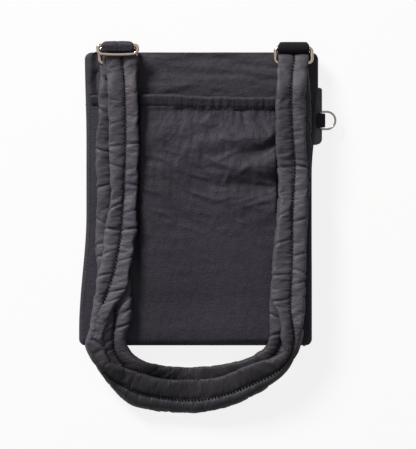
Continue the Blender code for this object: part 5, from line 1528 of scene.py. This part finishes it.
def toothTree():
    tree, given, spaced = rowTree("toothRow", {"Pitch": 0.003, "Width": 0.0012, "Depth": 0.0014,
                                               "Reach": 0.0013})
    size = addNode(tree, "ShaderNodeCombineXYZ",
                   {"X": given.outputs["Width"], "Y": given.outputs["Depth"], "Z": given.outputs["Reach"]})
    block = addNode(tree, "GeometryNodeMeshCube",
                    {"Size": size, "Vertices X": 3, "Vertices Y": 3, "Vertices Z": 3})
    placed = addNode(tree, "GeometryNodeInstanceOnPoints", {"Points": spaced, "Instance": block})
    return endTree(tree, given, placed)


teeth = {"tree": toothTree(), "reach": 0.0016, "endGap": 0.0012, "cordWidth": 0.00065, "cordHeight": 0.00045,
         "cordSides": 12}


def makeTeeth(name, node, phase, direction):
    # single teeth on a cord, which is joined to them
    low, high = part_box(node)
    middleY = (low.y + high.y) / 2
    spine = low.z if direction > 0 else high.z
    toothZ = spine + direction * teeth["reach"]
    ends = [(low.x + phase, middleY, toothZ), (high.x - teeth["endGap"], middleY, toothZ)]
    thing = growRow(name, ends, [(0, 1)], teeth["tree"], {"Material": toothNylon})
    angles = np.linspace(0, 2 * math.pi, teeth["cordSides"], endpoint=False)
    ring = (middleY + np.cos(angles) * teeth["cordWidth"],
            spine + direction * teeth["cordHeight"] + np.sin(angles) * teeth["cordHeight"])
    cord = [np.stack([np.full_like(angles, x), *ring], 1) for x in np.linspace(low.x, high.x, 60)]
    cordThing = gridMesh(name + "_spine", np.array(cord), closed=True, caps=True)
    closeMesh(cordThing)
    joined = bmesh.new()
    joined.from_mesh(thing.data)
    joined.from_mesh(cordThing.data)
    joined.to_mesh(thing.data)
    joined.free()
    bpy.data.objects.remove(cordThing)
    return finish(thing, "bag", toothNylon, (node,))


makeTeeth("zip_teeth_lower", "zip_teeth_front", 0.0021, 1)
makeTeeth("zip_teeth_upper", "zip_teeth_back", 0.0036, -1)


def makeEndTab(name, node):
    # cloth folded over the zip's end: copied from its solid, with its corners softened
    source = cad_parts[node]
    thing = addObject(name, source.data.copy())
    thing.data.transform(source.matrix_world)
    closeMesh(thing)
    soften = thing.modifiers.new("soften", "BEVEL")
    soften.width = 0.0002
    soften.segments = 2
    soften.limit_method = "ANGLE"
    bake(thing)
    thing.data.shade_smooth()
    thing.data.set_sharp_from_angle(angle=math.radians(40))
    return finish(thing, "bag", shellNylon, (node,))


makeEndTab("zip_end_fold_left", "zip_end_tab_left")
makeEndTab("zip_end_fold_right", "zip_end_tab_right")


# The zip's metal keeps its solids
for node in ("zip_slider", "zip_pull", "zip_bottom_stop", "zip_top_stop_front", "zip_top_stop_back"):
    dress(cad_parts[node], zipMetal)
print("zip made")


# Floor, light and camera
stage = {"keyPlace": (-1.62, 2.2, 1.62), "keyPower": 150.0, "keySize": 0.95, "topPlace": (0.0, 0.1, 1.2),
         "topPower": 3.6, "topSize": 2.0, "fillStrength": 0.03, "roomInMetal": 0.3, "paperInView": 0.85,
         "floorHalf": 4, "floorDrop": 0.0003, "cameraDistance": 2.4, "subjectHeight": 0.018, "sensor": 36.0}


def floorMaterial():
    # matt white paper; what the camera sees of it directly is lifted towards white, shadows kept
    material, tree, shader = newMaterial("mattWhitePaper")
    grain = addNode(tree, "ShaderNodeTexNoise", {"Scale": 900.0, "Detail": 2.0})
    bump = addNode(tree, "ShaderNodeBump", {"Height": grain, "Strength": 0.02})
    plug(shader, {"Base Color": (0.85, 0.85, 0.85, 1), "Roughness": 0.9, "Normal": bump})
    glow = addNode(tree, "ShaderNodeEmission", {"Color": (1, 1, 1, 1), "Strength": 1.0})
    rays = addNode(tree, "ShaderNodeLightPath")
    seen = addNode(tree, "ShaderNodeMath",
                   {0: rays.outputs["Is Camera Ray"], 1: stage["paperInView"]}, operation="MULTIPLY")
    mirrored = addNode(tree, "ShaderNodeMath",
                       {0: rays.outputs["Is Glossy Ray"], 1: stage["roomInMetal"]}, operation="MULTIPLY")
    share = addNode(tree, "ShaderNodeMath", {0: seen, 1: mirrored}, operation="MAXIMUM")
    both = addNode(tree, "ShaderNodeMixShader", {0: share, 1: shader, 2: glow})
    plug(tree.nodes["Material Output"], {"Surface": both})
    return material


half, under = stage["floorHalf"], -stage["floorDrop"]
floorCorners = [(-half, -half, under), (half, -half, under), (half, half, under), (-half, half, under)]
floorMesh = bpy.data.meshes.new("floor")
floorMesh.from_pydata(floorCorners, [], [(0, 1, 2, 3)])
floorMesh.materials.append(floorMaterial())
addObject("floor", floorMesh)


def lightRoom():
    # a dim room, which the camera sees as plain white and polished metal as a grey one
    world = bpy.data.worlds.new("studio")
    bpy.context.scene.world = world
    world.use_nodes = True
    sky = world.node_tree
    rays = addNode(sky, "ShaderNodeLightPath")
    dim = sky.nodes["Background"]
    plug(dim, {"Color": (0.96, 0.97, 1.0, 1), "Strength": stage["fillStrength"]})
    white = addNode(sky, "ShaderNodeBackground", {"Color": (1, 1, 1, 1), "Strength": 1.0})
    shiny = addNode(sky, "ShaderNodeMath",
                    {0: rays.outputs["Is Glossy Ray"], 1: stage["roomInMetal"]}, operation="MULTIPLY")
    seen = addNode(sky, "ShaderNodeMath", {0: rays.outputs["Is Camera Ray"], 1: shiny}, operation="MAXIMUM")
    pick = addNode(sky, "ShaderNodeMixShader", {0: seen, 1: dim, 2: white})
    plug(sky.nodes["World Output"], {"Surface": pick})


def areaLight(name, place, target, size, power, colour):
    light = bpy.data.lights.new(name, "AREA")
    light.shape = "DISK"
    light.size = size
    light.energy = power
    light.color = colour
    lamp = addObject(name, light)
    lamp.location = place
    lamp.visible_camera = False
    lamp.rotation_mode = "QUATERNION"
    lamp.rotation_quaternion = (Vector(target) - Vector(place)).to_track_quat("-Z", "Y")
    return lamp


def makeCamera():
    # straight above the photograph's middle, with the photograph's scale at the bag's height
    middleX, middleY = fromPhoto(photo["width"] / 2, photo["height"] / 2)
    distance, tall = stage["cameraDistance"], photo["height"] * photo["metresPerPixel"]
    data = bpy.data.cameras.new("camera")
    data.sensor_width = stage["sensor"]
    data.sensor_fit = "AUTO"
    data.lens = stage["sensor"] * (distance - stage["subjectHeight"]) / tall
    data.clip_end = 20
    camera = addObject("camera", data)
    camera.location = (float(middleX), float(middleY), distance)
    bpy.context.scene.camera = camera


lightRoom()
areaLight("key_softbox", stage["keyPlace"], (0, 0, 0), stage["keySize"], stage["keyPower"],
          (1.0, 0.985, 0.97))
areaLight("top_softbox", stage["topPlace"], (0, 0.1, 0), stage["topSize"], stage["topPower"],
          (0.98, 0.985, 1.0))
makeCamera()
bpy.context.scene.view_settings.view_transform = "Standard"
